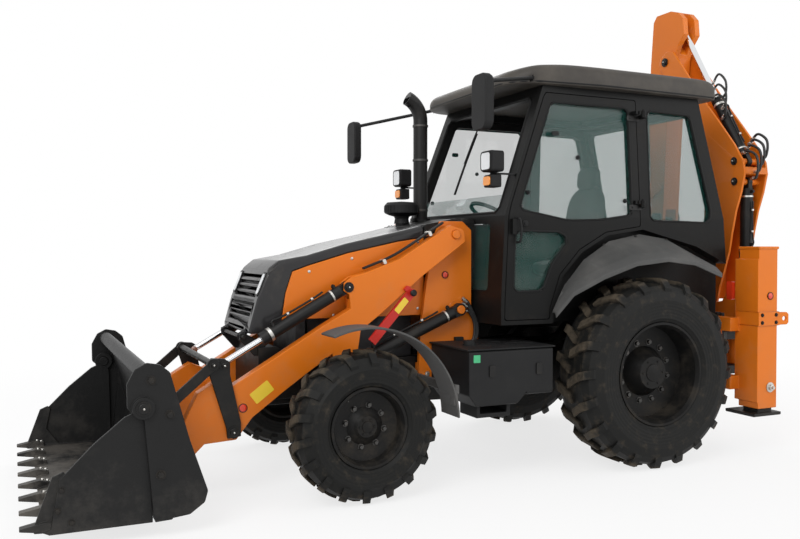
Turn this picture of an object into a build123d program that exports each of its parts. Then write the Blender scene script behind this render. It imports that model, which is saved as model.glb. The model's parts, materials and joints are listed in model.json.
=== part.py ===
# Backhoe loader: a wheeled tractor with a cab, a front loader and a rear digging arm.
# Millimetres. +X is forward, +Y is left, +Z is up, and the ground is at z = 0.
# Outlines are drawn in a side view whose first value counts forward from the rear axle
# and whose second value counts up from the ground.
import os
from math import cos, hypot, radians, sin

from build123d import *

os.makedirs("parts", exist_ok=True)

# The whole machine
rear_axle_x = -1340.0  # places the rear axle so that the machine's middle is at x = 0
wheelbase = 2300.0
fit = 0.3  # running or seating gap between parts that touch in the real machine
clear = 6.0  # gap between parts that pass each other

# Wheels
front_tyre_radius = 495.0
front_tyre_width = 320.0
front_half_track = 920.0
front_rim_radius = 262.0
rear_tyre_radius = 712.0
rear_tyre_width = 430.0
rear_half_track = 945.0
rear_rim_radius = 385.0
kingpin_y = 742.0
kingpin_radius = 24.0

# Chassis
front_datum = 2300.0  # the loader, hood and engine are drawn from a line this far behind the front axle
front_shift = wheelbase - front_datum
rail_outer_y = 350.0
rail_width = 80.0
rail_bottom_z = 600.0
rail_top_z = 800.0
rail_front_x = front_shift + 2760.0
rail_rear_top_z = 1010.0
gearbox_top_z = 880.0
rail_rear_x = -900.0

# Loader
arm_inner_y = 430.0
arm_width = 90.0
arm_centre_y = arm_inner_y + arm_width / 2
arm_outer_y = arm_inner_y + arm_width
tower_thickness = 40.0
tower_outer_y = arm_inner_y - 5.0
tower_front_x = 1650.0
arm_pivot = (1400.0, 1745.0)
arm_pin_radius = 32.0
lift_base = (1345.0, 1190.0)
lift_pin = (2250.0, 800.0)
tilt_base = (2240.0, 1372.0)
tilt_pin = (3115.0, 880.0)
lever_pivot = (3055.0, 440.0)
lever_tube = (3190.0, 890.0)
bucket_pivot = (3430.0, 330.0)
bucket_upper_pin = (3470.0, 650.0)
clam_pivot = (3705.0, 748.0)
lever_thickness = 24.0
link_thickness = 20.0
bucket_half_width = 1140.0
bucket_plate = 22.0

# Hood
hood_half_width = 375.0
hood_wall = 20.0
hood_rear_x = 1590.0  # from the front datum, as the hood's and the loader's other places
hood_hinge = (2930.0, 1035.0)

# Cab
cab_half_width = 800.0
cab_roof_half_width = cab_half_width - 48.0
cab_wall = 60.0
cab_floor_z = 1090.0
cab_waist_z = 1880.0
cab_top_z = 2845.0
door_gap = 6.0

# Backhoe
hoe_x = -1460.0  # its plane when stowed, counted from the rear axle
king_y = 430.0
boom_half_width = 140.0
boom_plate = 24.0
dipper_half_width = 98.0
boom_foot = (190.0, 1110.0)
boom_tip = (760.0, 3420.0)
dipper_rod_pin = (678.0, 3740.0)
boom_rod_pin = (-105.0, 1250.0)
boom_barrel_pin = (-110.0, 2225.0)
dipper_barrel_pin = (-105.0, 2400.0)
hoe_bucket_pin = (905.0, 1930.0)
hoe_bucket_link_pin = (883.0, 1807.0)
rocker_pivot = (880.0, 2230.0)
rocker_tip = (1130.0, 2060.0)
bucket_barrel_pin = (1086.0, 3060.0)

# Stabilisers
leg_x = -1105.0
leg_y = 1000.0
leg_size = 150.0
leg_box_size = 200.0
leg_box_wall = 17.0


def side(y):
    """The side view at a distance y to the left, drawn from the rear axle; normal to the right."""
    return Plane(origin=(rear_axle_x, y, 0), x_dir=(1, 0, 0), z_dir=(0, -1, 0))


def fore(y):
    """The side view that goes with the front axle, for the loader, the hood and the engine."""
    return Plane(origin=(rear_axle_x + front_shift, y, 0), x_dir=(1, 0, 0), z_dir=(0, -1, 0))


def cross(x):
    """The view along the machine at a distance x from the rear axle: (y, z), normal forward."""
    return Plane(origin=(rear_axle_x + x, 0, 0), x_dir=(0, 1, 0), z_dir=(1, 0, 0))


def flat(z):
    """The plan view at a height z, drawn from the rear axle, normal up."""
    return Plane(origin=(rear_axle_x, 0, z), x_dir=(1, 0, 0), z_dir=(0, 0, 1))


def reach(x):
    """The stowed backhoe's plane: first value counts right from the king pin, normal to the rear."""
    return Plane(origin=(rear_axle_x + x, king_y, 0), x_dir=(0, -1, 0), z_dir=(-1, 0, 0))


def slab(face, points, amount, both=False, mode=Mode.ADD, corner=0.0):
    """A closed outline through the points, its corners rounded if asked, extruded."""
    with BuildSketch(face) as outline:
        with BuildLine():
            Polyline(*points, close=True)
        make_face()
        if corner:
            fillet(outline.vertices(), corner)
    extrude(outline.sketch, amount=amount, both=both, mode=mode)


def disc(face, centre, radius, amount, both=False, mode=Mode.ADD):
    """A round boss, pin or hole on a plane."""
    with BuildSketch(face) as outline:
        with Locations(centre):
            Circle(radius)
    extrude(outline.sketch, amount=amount, both=both, mode=mode)


def block(face, centre, size, amount, both=False, mode=Mode.ADD):
    """A rectangle on a plane, extruded."""
    with BuildSketch(face) as outline:
        with Locations(centre):
            Rectangle(*size)
    extrude(outline.sketch, amount=amount, both=both, mode=mode)


def turned(face, profile, mode=Mode.ADD):
    """A profile of (along, radius) points turned about the plane's x axis."""
    with BuildSketch(face) as outline:
        with BuildLine():
            Polyline(*profile, close=True)
        make_face()
    revolve(outline.sketch, axis=Axis(face.origin, face.x_dir), mode=mode)


def strut(face, start, end):
    """A plane whose x axis runs from start to end, both drawn on the given plane."""
    along = face.x_dir * (end[0] - start[0]) + face.y_dir * (end[1] - start[1])
    return Plane(origin=face.from_local_coords((start[0], start[1], 0)), x_dir=along, z_dir=face.z_dir)


def barrel(face, length, radius, rod_radius, pin_radius, eye_width):
    """A hydraulic barrel along x from its base pin: tube, gland ring and bored eye."""
    eye_radius = pin_radius + 15
    bore = rod_radius + fit
    start = eye_radius + 14
    turned(face, [(start, 0), (start, radius), (length - 55, radius), (length - 55, radius + 6),
                  (length, radius + 6), (length, bore), (start + 25, bore), (start + 25, 0)])
    disc(face, (0, 0), eye_radius, eye_width / 2, both=True)
    block(face, (start / 2 + 1, 0), (start + 2, 2 * min(eye_radius, radius) - 6), eye_width / 2, both=True)
    disc(face, (0, 0), pin_radius + fit, eye_width, both=True, mode=Mode.SUBTRACT)


def rod(face, start, length, radius, pin_radius, eye_width, pin_reach=3.0, eye_wall=14.0):
    """A piston rod along x that ends in an eye with its pin."""
    turned(face, [(start, 0), (start, radius), (length, radius), (length, 0)])
    disc(face, (length, 0), pin_radius + eye_wall, eye_width / 2, both=True)
    disc(face, (length, 0), pin_radius, eye_width / 2 + pin_reach, both=True)


def span(start, end):
    """The distance between two points of a side view."""
    return hypot(end[0] - start[0], end[1] - start[1])


# Tyres and rims
# (name, x, radius, width, rim radius, half track, disc offset)
wheel_kinds = {
    "front": (wheelbase, front_tyre_radius, front_tyre_width, front_rim_radius, front_half_track, 20.0),
    "rear": (0.0, rear_tyre_radius, rear_tyre_width, rear_rim_radius, rear_half_track, -30.0),
}
spindle_radius = {"front": 45.0, "rear": 62.0}
hub_radius = {"front": 85.0, "rear": 150.0}
hub_reach = {"front": 60.0, "rear": 120.0}
rim_bead = 18.0

# (name, lugs on a side, lug height, lug width, how far a lug leans from the middle to the shoulder)
lug_rows = {"front": (18, 24.0, 50.0, 80.0), "rear": (20, 34.0, 62.0, 110.0)}


def carcass_profile(half, radius, rim_radius, depth):
    """Half of the tyre's section without its lugs, from the bead out to the tread."""
    return [(half - 40, rim_radius), (half - 12, rim_radius + 30), (half, (radius + rim_radius) / 2),
            (half - 12, radius - 100), (half - 40, radius - depth - 22), (half - 95, radius - depth)]


def lug_ring(half, radius, depth):
    """The ring that one side's lugs are cut from, from past the middle over the shoulder."""
    return [(-8, radius), (half - 90, radius), (half - 45, radius - 12), (half - 8, radius - 75),
            (half - 22, radius - 150), (half - 100, radius - depth - 25), (-8, radius - depth - 25)]


for axle, (x, radius, width, rim_radius, half_track, disc_offset) in wheel_kinds.items():
    half = width / 2
    count, depth, lug_width, lean = lug_rows[axle]
    axle_end = Plane(origin=(rear_axle_x + x, half_track, radius), x_dir=(0, 1, 0), z_dir=(1, 0, 0))
    below = Plane(origin=axle_end.origin, x_dir=(0, 1, 0), z_dir=(0, 0, -1))
    lugs = []
    for row, shift in ((1, 0.0), (-1, 0.5)):
        lug_line = [(-8, -0.5 * lean), (0.5 * half, 0.1 * lean), (half + 5, 0.4 * lean)]
        lug_outline = [(row * u, v - lug_width / 2) for u, v in lug_line]
        lug_outline += [(row * u, v + lug_width / 2) for u, v in reversed(lug_line)]
        with BuildPart() as lug:
            turned(axle_end, [(row * u, r) for u, r in lug_ring(half, radius, depth)])
            slab(below, lug_outline, radius + 5, mode=Mode.INTERSECT)
        lugs += [lug.part.rotate(Axis(axle_end.origin, (0, 1, 0)), 360 / count * (index + shift))
                 for index in range(count)]
    flank = carcass_profile(half, radius, rim_radius, depth)
    with BuildPart() as left_tyre:
        turned(axle_end, [(-u, r) for u, r in flank] + list(reversed(flank)))
        add(lugs)
    for hand, tyre in (("left", left_tyre.part), ("right", left_tyre.part.mirror(Plane.XZ))):
        tyre.label = f"tyre_{axle}_{hand}"
        export_step(tyre, f"parts/tyre_{axle}_{hand}.step")

    for hand, sign in (("left", 1), ("right", -1)):
        centre = Plane(origin=(rear_axle_x + x, sign * half_track, radius), x_dir=(0, sign, 0), z_dir=(1, 0, 0))
        well = rim_radius - fit
        disc_y = disc_offset
        with BuildPart() as rim:
            turned(centre, [(-half + 30, well - rim_bead), (-half + 30, well), (half - 30, well),
                            (half - 30, well - rim_bead), (half - 60, well - rim_bead - 14),
                            (disc_y + 30, well - rim_bead - 22), (disc_y + 12, hub_radius[axle] + 40),
                            (disc_y + 12 + hub_reach[axle] * 0.5, hub_radius[axle]),
                            (disc_y + hub_reach[axle], hub_radius[axle] * 0.8),
                            (disc_y + hub_reach[axle], 0), (disc_y + hub_reach[axle] - 30, 0),
                            (disc_y + hub_reach[axle] - 30, spindle_radius[axle] + fit),
                            (disc_y - 8, spindle_radius[axle] + fit),
                            (disc_y - 8, hub_radius[axle] + 60),
                            (disc_y + 4, well - rim_bead - 30), (-half + 60, well - rim_bead - 14)])
        rim.part.label = f"rim_{axle}_{hand}"
        export_step(rim.part, f"parts/rim_{axle}_{hand}.step")

# Axles and knuckles
front_axle_z = front_tyre_radius
rear_axle_z = rear_tyre_radius
beam_half_height = 62.0
fork_gap = 84.0  # half height of the kingpin fork's mouth
knuckle_radius = 33.0
hub_face = {"front": wheel_kinds["front"][5] - 8 - clear, "rear": wheel_kinds["rear"][5] - 8 - clear}

with BuildPart() as front_axle:
    slab(cross(wheelbase), [(0, front_axle_z - 80), (300, front_axle_z - beam_half_height),
                            (kingpin_y - 62, front_axle_z - beam_half_height),
                            (kingpin_y - 62, front_axle_z - fork_gap - 40),
                            (kingpin_y + 35, front_axle_z - fork_gap - 40),
                            (kingpin_y + 35, front_axle_z - fork_gap),
                            (kingpin_y - 40, front_axle_z - fork_gap),
                            (kingpin_y - 40, front_axle_z + fork_gap),
                            (kingpin_y + 35, front_axle_z + fork_gap),
                            (kingpin_y + 35, front_axle_z + fork_gap + 40),
                            (kingpin_y - 62, front_axle_z + fork_gap + 40),
                            (kingpin_y - 62, front_axle_z + beam_half_height),
                            (300, front_axle_z + beam_half_height), (0, front_axle_z + 80)], 60, both=True)
    disc(cross(wheelbase), (0, front_axle_z), 95, 75, both=True)
    disc(flat(front_axle_z), (wheelbase, kingpin_y), kingpin_radius, fork_gap + 30, both=True)
    mirror(about=Plane.XZ)
    disc(cross(wheelbase), (0, front_axle_z), 36 + fit, 100, both=True, mode=Mode.SUBTRACT)
front_axle.part.label = "front_axle"
export_step(front_axle.part, "parts/front_axle.step")

for hand, sign in (("left", 1), ("right", -1)):
    spindle = Plane(origin=(rear_axle_x + wheelbase, 0, front_axle_z), x_dir=(0, sign, 0), z_dir=(1, 0, 0))
    hub_end = front_half_track + hub_face["front"]
    spindle_end = front_half_track + wheel_kinds["front"][5] + hub_reach["front"] - 30 - clear
    with BuildPart() as knuckle:
        disc(flat(front_axle_z), (wheelbase, sign * kingpin_y), knuckle_radius, fork_gap - 8, both=True)
        block(flat(front_axle_z), (wheelbase, sign * (kingpin_y + 20)), (2 * knuckle_radius, 40), fork_gap - 14,
              both=True)
        turned(spindle, [(kingpin_y + 24, 0), (kingpin_y + 24, 66), (hub_end - 16, 66), (hub_end - 16, 110),
                         (hub_end, 110), (hub_end, 45), (spindle_end, 45), (spindle_end, 0)])
        slab(flat(front_axle_z - 60), [(wheelbase - 30, sign * (kingpin_y + 62)),
                                       (wheelbase - 30, sign * (kingpin_y + 14)),
                                       (wheelbase - 95, sign * (kingpin_y + 12)),
                                       (wheelbase - 200, sign * (kingpin_y - 4)),
                                       (wheelbase - 200, sign * (kingpin_y + 36)),
                                       (wheelbase - 90, sign * (kingpin_y + 62))], 24)
        disc(flat(front_axle_z), (wheelbase, sign * kingpin_y), kingpin_radius + fit, 200, both=True,
             mode=Mode.SUBTRACT)
    knuckle.part.label = f"steering_knuckle_{hand}"
    export_step(knuckle.part, f"parts/steering_knuckle_{hand}.step")

rear_axle_line = Plane(origin=(rear_axle_x, 0, rear_axle_z), x_dir=(0, 1, 0), z_dir=(1, 0, 0))
rear_hub_end = rear_half_track + hub_face["rear"]
rear_spindle_end = rear_half_track + wheel_kinds["rear"][5] + hub_reach["rear"] - 30 - clear
gearbox_front_x = front_shift + 1590.0
with BuildPart() as rear_axle:
    turned(rear_axle_line, [(0, 0), (0, 215), (180, 205), (270, 120), (rear_hub_end - 150, 105),
                            (rear_hub_end - 120, 150), (rear_hub_end, 165), (rear_hub_end, 62),
                            (rear_spindle_end, 62), (rear_spindle_end, 0)])
    mirror(about=Plane.XZ)
    slab(side(0), [(0, 520), (0, 900), (420, gearbox_top_z), (gearbox_front_x, gearbox_top_z),
                   (gearbox_front_x, 480), (1150, 470), (420, 560)], 185, both=True)
rear_axle.part.label = "rear_axle"
export_step(rear_axle.part, "parts/rear_axle.step")

# Chassis: two rails, cross members, the loader towers and the nose
rail_inner_y = rail_outer_y - rail_width
nose_front_x = 2830.0
nose_top_z = 960.0
tower_inner_y = tower_outer_y - tower_thickness
axle_pin_radius = 36.0
hood_pin_radius = 12.0
with BuildPart() as chassis_frame:
    with BuildSketch(side(rail_outer_y)) as rail_outline:
        with BuildLine():
            Polyline((rail_rear_x, rail_bottom_z), (rail_rear_x, rail_rear_top_z), (-420, rail_rear_top_z),
                     (-260, 1060), (260, 1060), (420, 900), (rail_front_x, rail_top_z),
                     (rail_front_x, rail_bottom_z), (420, rail_bottom_z), (420, 860), (260, 950), (-260, 950),
                     (-420, 860), (-420, rail_bottom_z), close=True)
        make_face()
    extrude(rail_outline.sketch, amount=rail_width)
    mirror(about=Plane.XZ)
    for x, low, high in ((-860, 640, 900), (rail_front_x - 30, 640, 780)):
        block(cross(x), (0, (low + high) / 2), (2 * rail_inner_y, high - low), 24)
    slab(fore(0), [(2600, rail_bottom_z - 40), (2600, nose_top_z - 60), (2700, nose_top_z),
                   (nose_front_x, nose_top_z), (nose_front_x, rail_bottom_z - 40)], rail_outer_y - 20, both=True)
    for x in (wheelbase - 105, wheelbase + 80):
        slab(cross(x), [(-250, rail_bottom_z + 5), (-120, front_axle_z - 110), (120, front_axle_z - 110),
                        (250, rail_bottom_z + 5), (rail_inner_y + 5, rail_bottom_z + 5),
                        (rail_inner_y + 5, rail_bottom_z + 60), (-rail_inner_y - 5, rail_bottom_z + 60),
                        (-rail_inner_y - 5, rail_bottom_z + 5)], 25)
    disc(cross(wheelbase), (0, front_axle_z), axle_pin_radius, 105, both=True)
    slab(fore(rail_inner_y + 20), [(nose_front_x - 60, nose_top_z - 60), (nose_front_x - 60, nose_top_z + 20),
                                   (hood_hinge[0] - 20, hood_hinge[1] + 22),
                                   (hood_hinge[0] + 20, hood_hinge[1] + 22),
                                   (hood_hinge[0] + 20, hood_hinge[1] - 22), (nose_front_x + 20, nose_top_z - 60)],
         24)
    mirror(about=Plane.XZ)
    disc(fore(0), hood_hinge, hood_pin_radius, rail_inner_y + 60, both=True)
chassis_frame.part.label = "chassis_frame"
export_step(chassis_frame.part, "parts/chassis_frame.step")

with BuildPart() as loader_towers:
    slab(fore(tower_outer_y), [(1150, 640), (1150, 950), (1215, 1180), (1215, 1780), (1290, 1845),
                               (1470, 1845), (1525, 1720), (1590, 1400), (tower_front_x, 950), (tower_front_x, 640)],
         tower_thickness)
    for pin_point, length in ((arm_pivot, arm_width + 22), (lift_base, arm_width)):
        disc(fore(tower_outer_y), pin_point, 62, -(arm_inner_y - tower_outer_y - fit))
        disc(fore(tower_outer_y), pin_point, arm_pin_radius, -length)
    block(fore(tower_inner_y), (1400, 720), (500, 160), tower_inner_y - rail_outer_y)
    mirror(about=Plane.XZ)
    block(fore(0), (1300, 1350), (90, 120), tower_inner_y + 5, both=True)
loader_towers.part.label = "loader_towers"
export_step(loader_towers.part, "parts/loader_towers.step")

radiator_x = front_shift + 2480.0
radiator_depth = 70.0
with BuildPart() as engine_block:
    slab(fore(0), [(1620, 670), (1620, 1500), (1760, 1560), (2120, 1500), (2440, 1420), (2440, 670)], 210, both=True)
    block(fore(0), (2030, 700), (200, 110), rail_inner_y - fit, both=True)
    block(cross(radiator_x), (0, 1140), (560, 560), radiator_depth)
    block(cross(radiator_x), (0, 830), (2 * rail_inner_y - 2 * fit, 60), radiator_depth)
engine_block.part.label = "engine_block"
export_step(engine_block.part, "parts/engine_block.step")

# Cowl between the hood and the windscreen, with the intake and the exhaust on it
cowl_front_x = front_shift + hood_rear_x - clear
cowl_rear_x = 1160.0
cowl_half_width = tower_inner_y - clear
with BuildPart() as cowl:
    slab(side(0), [(cowl_rear_x, 1500), (cowl_rear_x, 1868), (1330, 1868), (cowl_front_x, 1818),
                   (cowl_front_x, 1500)], cowl_half_width, both=True)
    fillet(cowl.edges().filter_by(Axis.X, tolerance=20).group_by(Axis.Z)[-1], 40)
    slab(side(0), [(cowl_rear_x - 1, 1499), (cowl_rear_x - 1, 1850), (1330, 1850), (cowl_front_x + 1, 1798),
                   (cowl_front_x + 1, 1499)], cowl_half_width - 18, both=True, mode=Mode.SUBTRACT)
    block(side(0), (1300, 1455), (90, 90 - 2 * fit), cowl_half_width - 18, both=True)
    for y in (-1, 1):
        block(side(y * (cowl_half_width - 18)), (1300, 1480), (90, 80), y * 18)
cowl.part.label = "cowl"
export_step(cowl.part, "parts/cowl.step")

stack_x = 1300.0
stack_y = -280.0
stack_radius = 58.0
with BuildPart() as exhaust_stack:
    with BuildLine() as stack_path:
        Line((rear_axle_x + stack_x, stack_y, 1869), (rear_axle_x + stack_x, stack_y, 2700))
        ThreePointArc((rear_axle_x + stack_x, stack_y, 2700), (rear_axle_x + stack_x + 35, stack_y, 2800),
                      (rear_axle_x + stack_x + 120, stack_y, 2868))
    with BuildSketch(Plane(origin=(rear_axle_x + stack_x, stack_y, 1869), z_dir=(0, 0, 1))) as stack_section:
        Circle(stack_radius)
    sweep(stack_section.sketch, path=stack_path.wires()[0])
    disc(flat(1868 + fit), (stack_x, stack_y), stack_radius + 26, 22)
    mouth = Plane(origin=(rear_axle_x + stack_x + 121, stack_y, 2869), z_dir=(0.78, 0, 0.62))
    with BuildSketch(mouth) as mouth_hole:
        Circle(stack_radius - 6)
    extrude(mouth_hole.sketch, amount=-60, mode=Mode.SUBTRACT)
exhaust_stack.part.label = "exhaust_stack"
export_step(exhaust_stack.part, "parts/exhaust_stack.step")

intake_x = cowl_front_x - 76
intake_y = -195.0
intake_foot_z = 1822.0
with BuildPart() as air_precleaner:
    upward = Plane(origin=(rear_axle_x + intake_x, intake_y, 0), x_dir=(0, 0, 1), z_dir=(1, 0, 0))
    turned(upward, [(intake_foot_z + 22, 0), (intake_foot_z + 22, 62), (intake_foot_z + 60, 55), (1900, 62),
                    (1912, 105), (1928, 138), (1990, 138), (2012, 118), (2022, 0)])
    turned(upward, [(intake_foot_z - 10, 0), (intake_foot_z - 10, 50), (intake_foot_z + 40, 50),
                    (intake_foot_z + 40, 0)])
    slab(side(intake_y), [(cowl_rear_x, 1500), (cowl_rear_x, 1868 + fit), (1330, 1868 + fit),
                          (cowl_front_x + 10, 1817 + fit), (cowl_front_x + 10, 1500)], 200, both=True,
         mode=Mode.SUBTRACT)
air_precleaner.part.label = "air_precleaner"
export_step(air_precleaner.part, "parts/air_precleaner.step")

# Hood: a black cover with a slotted front, and an orange panel on each side
hood_outline = [(hood_rear_x, 1150), (hood_rear_x, 1816), (1804, 1765), (2192, 1680), (2488, 1596),
                (2690, 1560), (2765, 1500), (2850, 1290), (2905, 1090), (2905, 1060), (2700, 1060), (2560, 1150)]
hood_panel = [(hood_rear_x, 1150), (hood_rear_x, 1722), (1804, 1690), (2192, 1607), (2488, 1520),
              (2600, 1480), (2650, 1330), (2690, 1060), (2560, 1150)]


grille_slots = 8
grille_pitch = 44.0


def hood_body(inset):
    """The hood's closed form, its sides and top moved in by the inset."""
    with BuildSketch(fore(0)) as form:
        with BuildLine():
            Polyline(*hood_outline, close=True)
        make_face()
        if inset:
            offset(amount=-inset)
    extrude(form.sketch, amount=hood_half_width - inset, both=True)


with BuildPart() as hood_core:
    hood_body(hood_wall)
    slab(fore(0), [(hood_rear_x - 5, 1000), (hood_rear_x - 5, 1795), (hood_rear_x + 40, 1785), (2560, 1250),
                   (2700, 1000)], hood_half_width - hood_wall, both=True)
with BuildPart() as hood_cover:
    hood_body(0)
    fillet(hood_cover.edges().filter_by(lambda e: abs(e.center().Y) > hood_half_width - 1
                                        and e.center().Z > 1500
                                        and e.center().X > rear_axle_x + hood_rear_x + 5), 45)
    add(hood_core.part, mode=Mode.SUBTRACT)
    slab(fore(hood_half_width + 1), hood_panel, hood_wall + 1, mode=Mode.SUBTRACT)
    slab(fore(-hood_half_width - 1), hood_panel, -hood_wall - 1, mode=Mode.SUBTRACT)
    for index in range(grille_slots):
        block(cross(front_shift + 2700), (0, 1140 + index * grille_pitch), (560, 20), 300, mode=Mode.SUBTRACT)
    for y in (-rail_inner_y + 22, rail_inner_y - 22):
        slab(fore(y), [(2890, 1075), (2890, 1010), (hood_hinge[0] + 22, 1010), (hood_hinge[0] + 22, 1060),
                       (2895, 1090)], 10, both=True)
        disc(fore(y), hood_hinge, hood_pin_radius + fit, 20, both=True, mode=Mode.SUBTRACT)
hood_cover.part.label = "hood_cover"
export_step(hood_cover.part, "parts/hood_cover.step")

with BuildPart() as hood_panels:
    slab(fore(hood_half_width), hood_panel, hood_wall)
    mirror(about=Plane.XZ)
hood_panels.part.label = "hood_side_panels"
export_step(hood_panels.part, "parts/hood_side_panels.step")

# Loader arms
front_tube = (2985.0, 600.0)
front_tube_radius = 68.0
eye_slot = 58.0
with BuildPart() as loader_arms:
    slab(fore(arm_outer_y), [(1318, 1690), (1330, 1780), (1440, 1812), (1853, 1565), (2120, 1468),
                             (2215, 1445), (2275, 1400), (2275, 1345), (2235, 1320), (2225, 1222), (2426, 1111),
                             (3050, 740),
                             (3150, 786), (3282, 705), (3388, 482), (3474, 384), (3502, 330), (3482, 277),
                             (3430, 256), (3350, 266), (3240, 372), (3031, 383), (2920, 524),
                             (2698, 686), (2360, 915), (2315, 765), (2225, 748), (2190, 800), (2150, 1067),
                             (2001, 1176), (1672, 1441)], arm_width)
    block(fore(arm_centre_y + eye_slot / 2), (tilt_base[0] + 45, tilt_base[1] + 10), (190, 190), eye_slot,
          mode=Mode.SUBTRACT)
    slab(fore(arm_centre_y + eye_slot / 2), [(2080, 700), (2080, 1010), (2366, 945), (2402, 700)],
         eye_slot, mode=Mode.SUBTRACT)
    disc(fore(arm_outer_y), arm_pivot, arm_pin_radius + fit, arm_width, mode=Mode.SUBTRACT)
    disc(fore(arm_outer_y), lever_pivot, 30 + fit, arm_width, mode=Mode.SUBTRACT)
    disc(fore(arm_outer_y), bucket_pivot, 32 + fit, arm_width, mode=Mode.SUBTRACT)
    disc(fore(arm_outer_y), tilt_base, 26, arm_width)
    mirror(about=Plane.XZ)
    disc(fore(0), front_tube, front_tube_radius, arm_inner_y + 5, both=True)
loader_arms.part.label = "loader_arms"
export_step(loader_arms.part, "parts/loader_arms.step")

strut_top = (1770.0, 1325.0)
strut_foot = (2075.0, 985.0)
strut_lug = (1802.0, 1352.0)  # on the arm's lower edge, where the strut hangs in transit
with BuildPart() as safety_strut:
    strut_line = strut(fore(arm_outer_y + clear / 2 + 12), strut_top, strut_foot)
    block(strut_line, (span(strut_top, strut_foot) / 2, 0), (span(strut_top, strut_foot), 62), 11, both=True)
    disc(strut_line, (0, 0), 31, 11, both=True)
    slab(fore(arm_outer_y + clear / 2 + 23), [(1764, 1318), (1778, 1300), (1826, 1352), (1802, 1376), (1780, 1370)],
         23 + clear / 2 - fit)
safety_strut.part.label = "safety_strut"
export_step(safety_strut.part, "parts/safety_strut.step")

# Tilt levers and links
lever_face = arm_outer_y + clear + lever_thickness
link_face = lever_face + clear + link_thickness
lever_tube_radius = 23.0
tilt_eye_pin = 16.0
with BuildPart() as tilt_levers:
    with BuildSketch(fore(lever_face)) as lever_outline:
        with BuildLine():
            Polyline((lever_pivot[0] - 48, lever_pivot[1] - 30), (lever_pivot[0] - 48, lever_pivot[1] + 60),
                     (tilt_pin[0] - 38, tilt_pin[1] - 60), (tilt_pin[0] - 38, tilt_pin[1] + 20),
                     (tilt_pin[0], tilt_pin[1] + 45), (lever_tube[0] + 10, lever_tube[1] + 42),
                     (lever_tube[0] + 42, lever_tube[1]), (lever_pivot[0] + 48, lever_pivot[1] + 30),
                     (lever_pivot[0] + 40, lever_pivot[1] - 40), close=True)
        make_face()
    extrude(lever_outline.sketch, amount=lever_thickness)
    disc(fore(lever_face), lever_pivot, 30, lever_thickness + clear + arm_width + 12)
    disc(fore(lever_face), tilt_pin, tilt_eye_pin, lever_thickness + clear + arm_width / 2 - 32)
    disc(fore(lever_face), lever_tube, 22, -link_thickness - clear - 8)
    mirror(about=Plane.XZ)
    disc(fore(0), lever_tube, lever_tube_radius, lever_face - 2, both=True)
tilt_levers.part.label = "tilt_levers"
export_step(tilt_levers.part, "parts/tilt_levers.step")

with BuildPart() as tilt_links:
    link_line = strut(fore(link_face), lever_tube, bucket_upper_pin)
    link_length = span(lever_tube, bucket_upper_pin)
    block(link_line, (link_length / 2, 0), (link_length, 66), link_thickness)
    disc(link_line, (0, 0), 42, link_thickness)
    disc(link_line, (link_length, 0), 42, link_thickness)
    disc(link_line, (0, 0), 22 + fit, link_thickness, mode=Mode.SUBTRACT)
    mirror(about=Plane.XZ)
tilt_links.part.label = "tilt_links"
export_step(tilt_links.part, "parts/tilt_links.step")

# Loader cylinders
# (name, base pin, rod pin, barrel length, barrel radius, rod radius, base pin radius, rod start,
#  rod pin radius, wall of the rod's eye)
loader_cylinders = {
    "lift": (lift_base, lift_pin, 850.0, 44.0, 25.0, arm_pin_radius, 90.0, 24.0, 14.0),
    "tilt": (tilt_base, tilt_pin, 700.0, 42.0, 22.0, 26.0, 262.0, tilt_eye_pin, 9.0),
}
for name, row in loader_cylinders.items():
    base, pin, length, radius, rod_radius, pin_radius, start, eye_pin, eye_wall = row
    line = strut(fore(arm_centre_y), base, pin)
    with BuildPart() as loader_barrels:
        barrel(line, length, radius, rod_radius, pin_radius, 46)
        mirror(about=Plane.XZ)
    loader_barrels.part.label = f"{name}_barrels"
    export_step(loader_barrels.part, f"parts/{name}_barrels.step")
    with BuildPart() as loader_rods:
        rod(line, start, span(base, pin), rod_radius, eye_pin, 46, eye_wall=eye_wall)
        mirror(about=Plane.XZ)
    loader_rods.part.label = f"{name}_rods"
    export_step(loader_rods.part, f"parts/{name}_rods.step")

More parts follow.
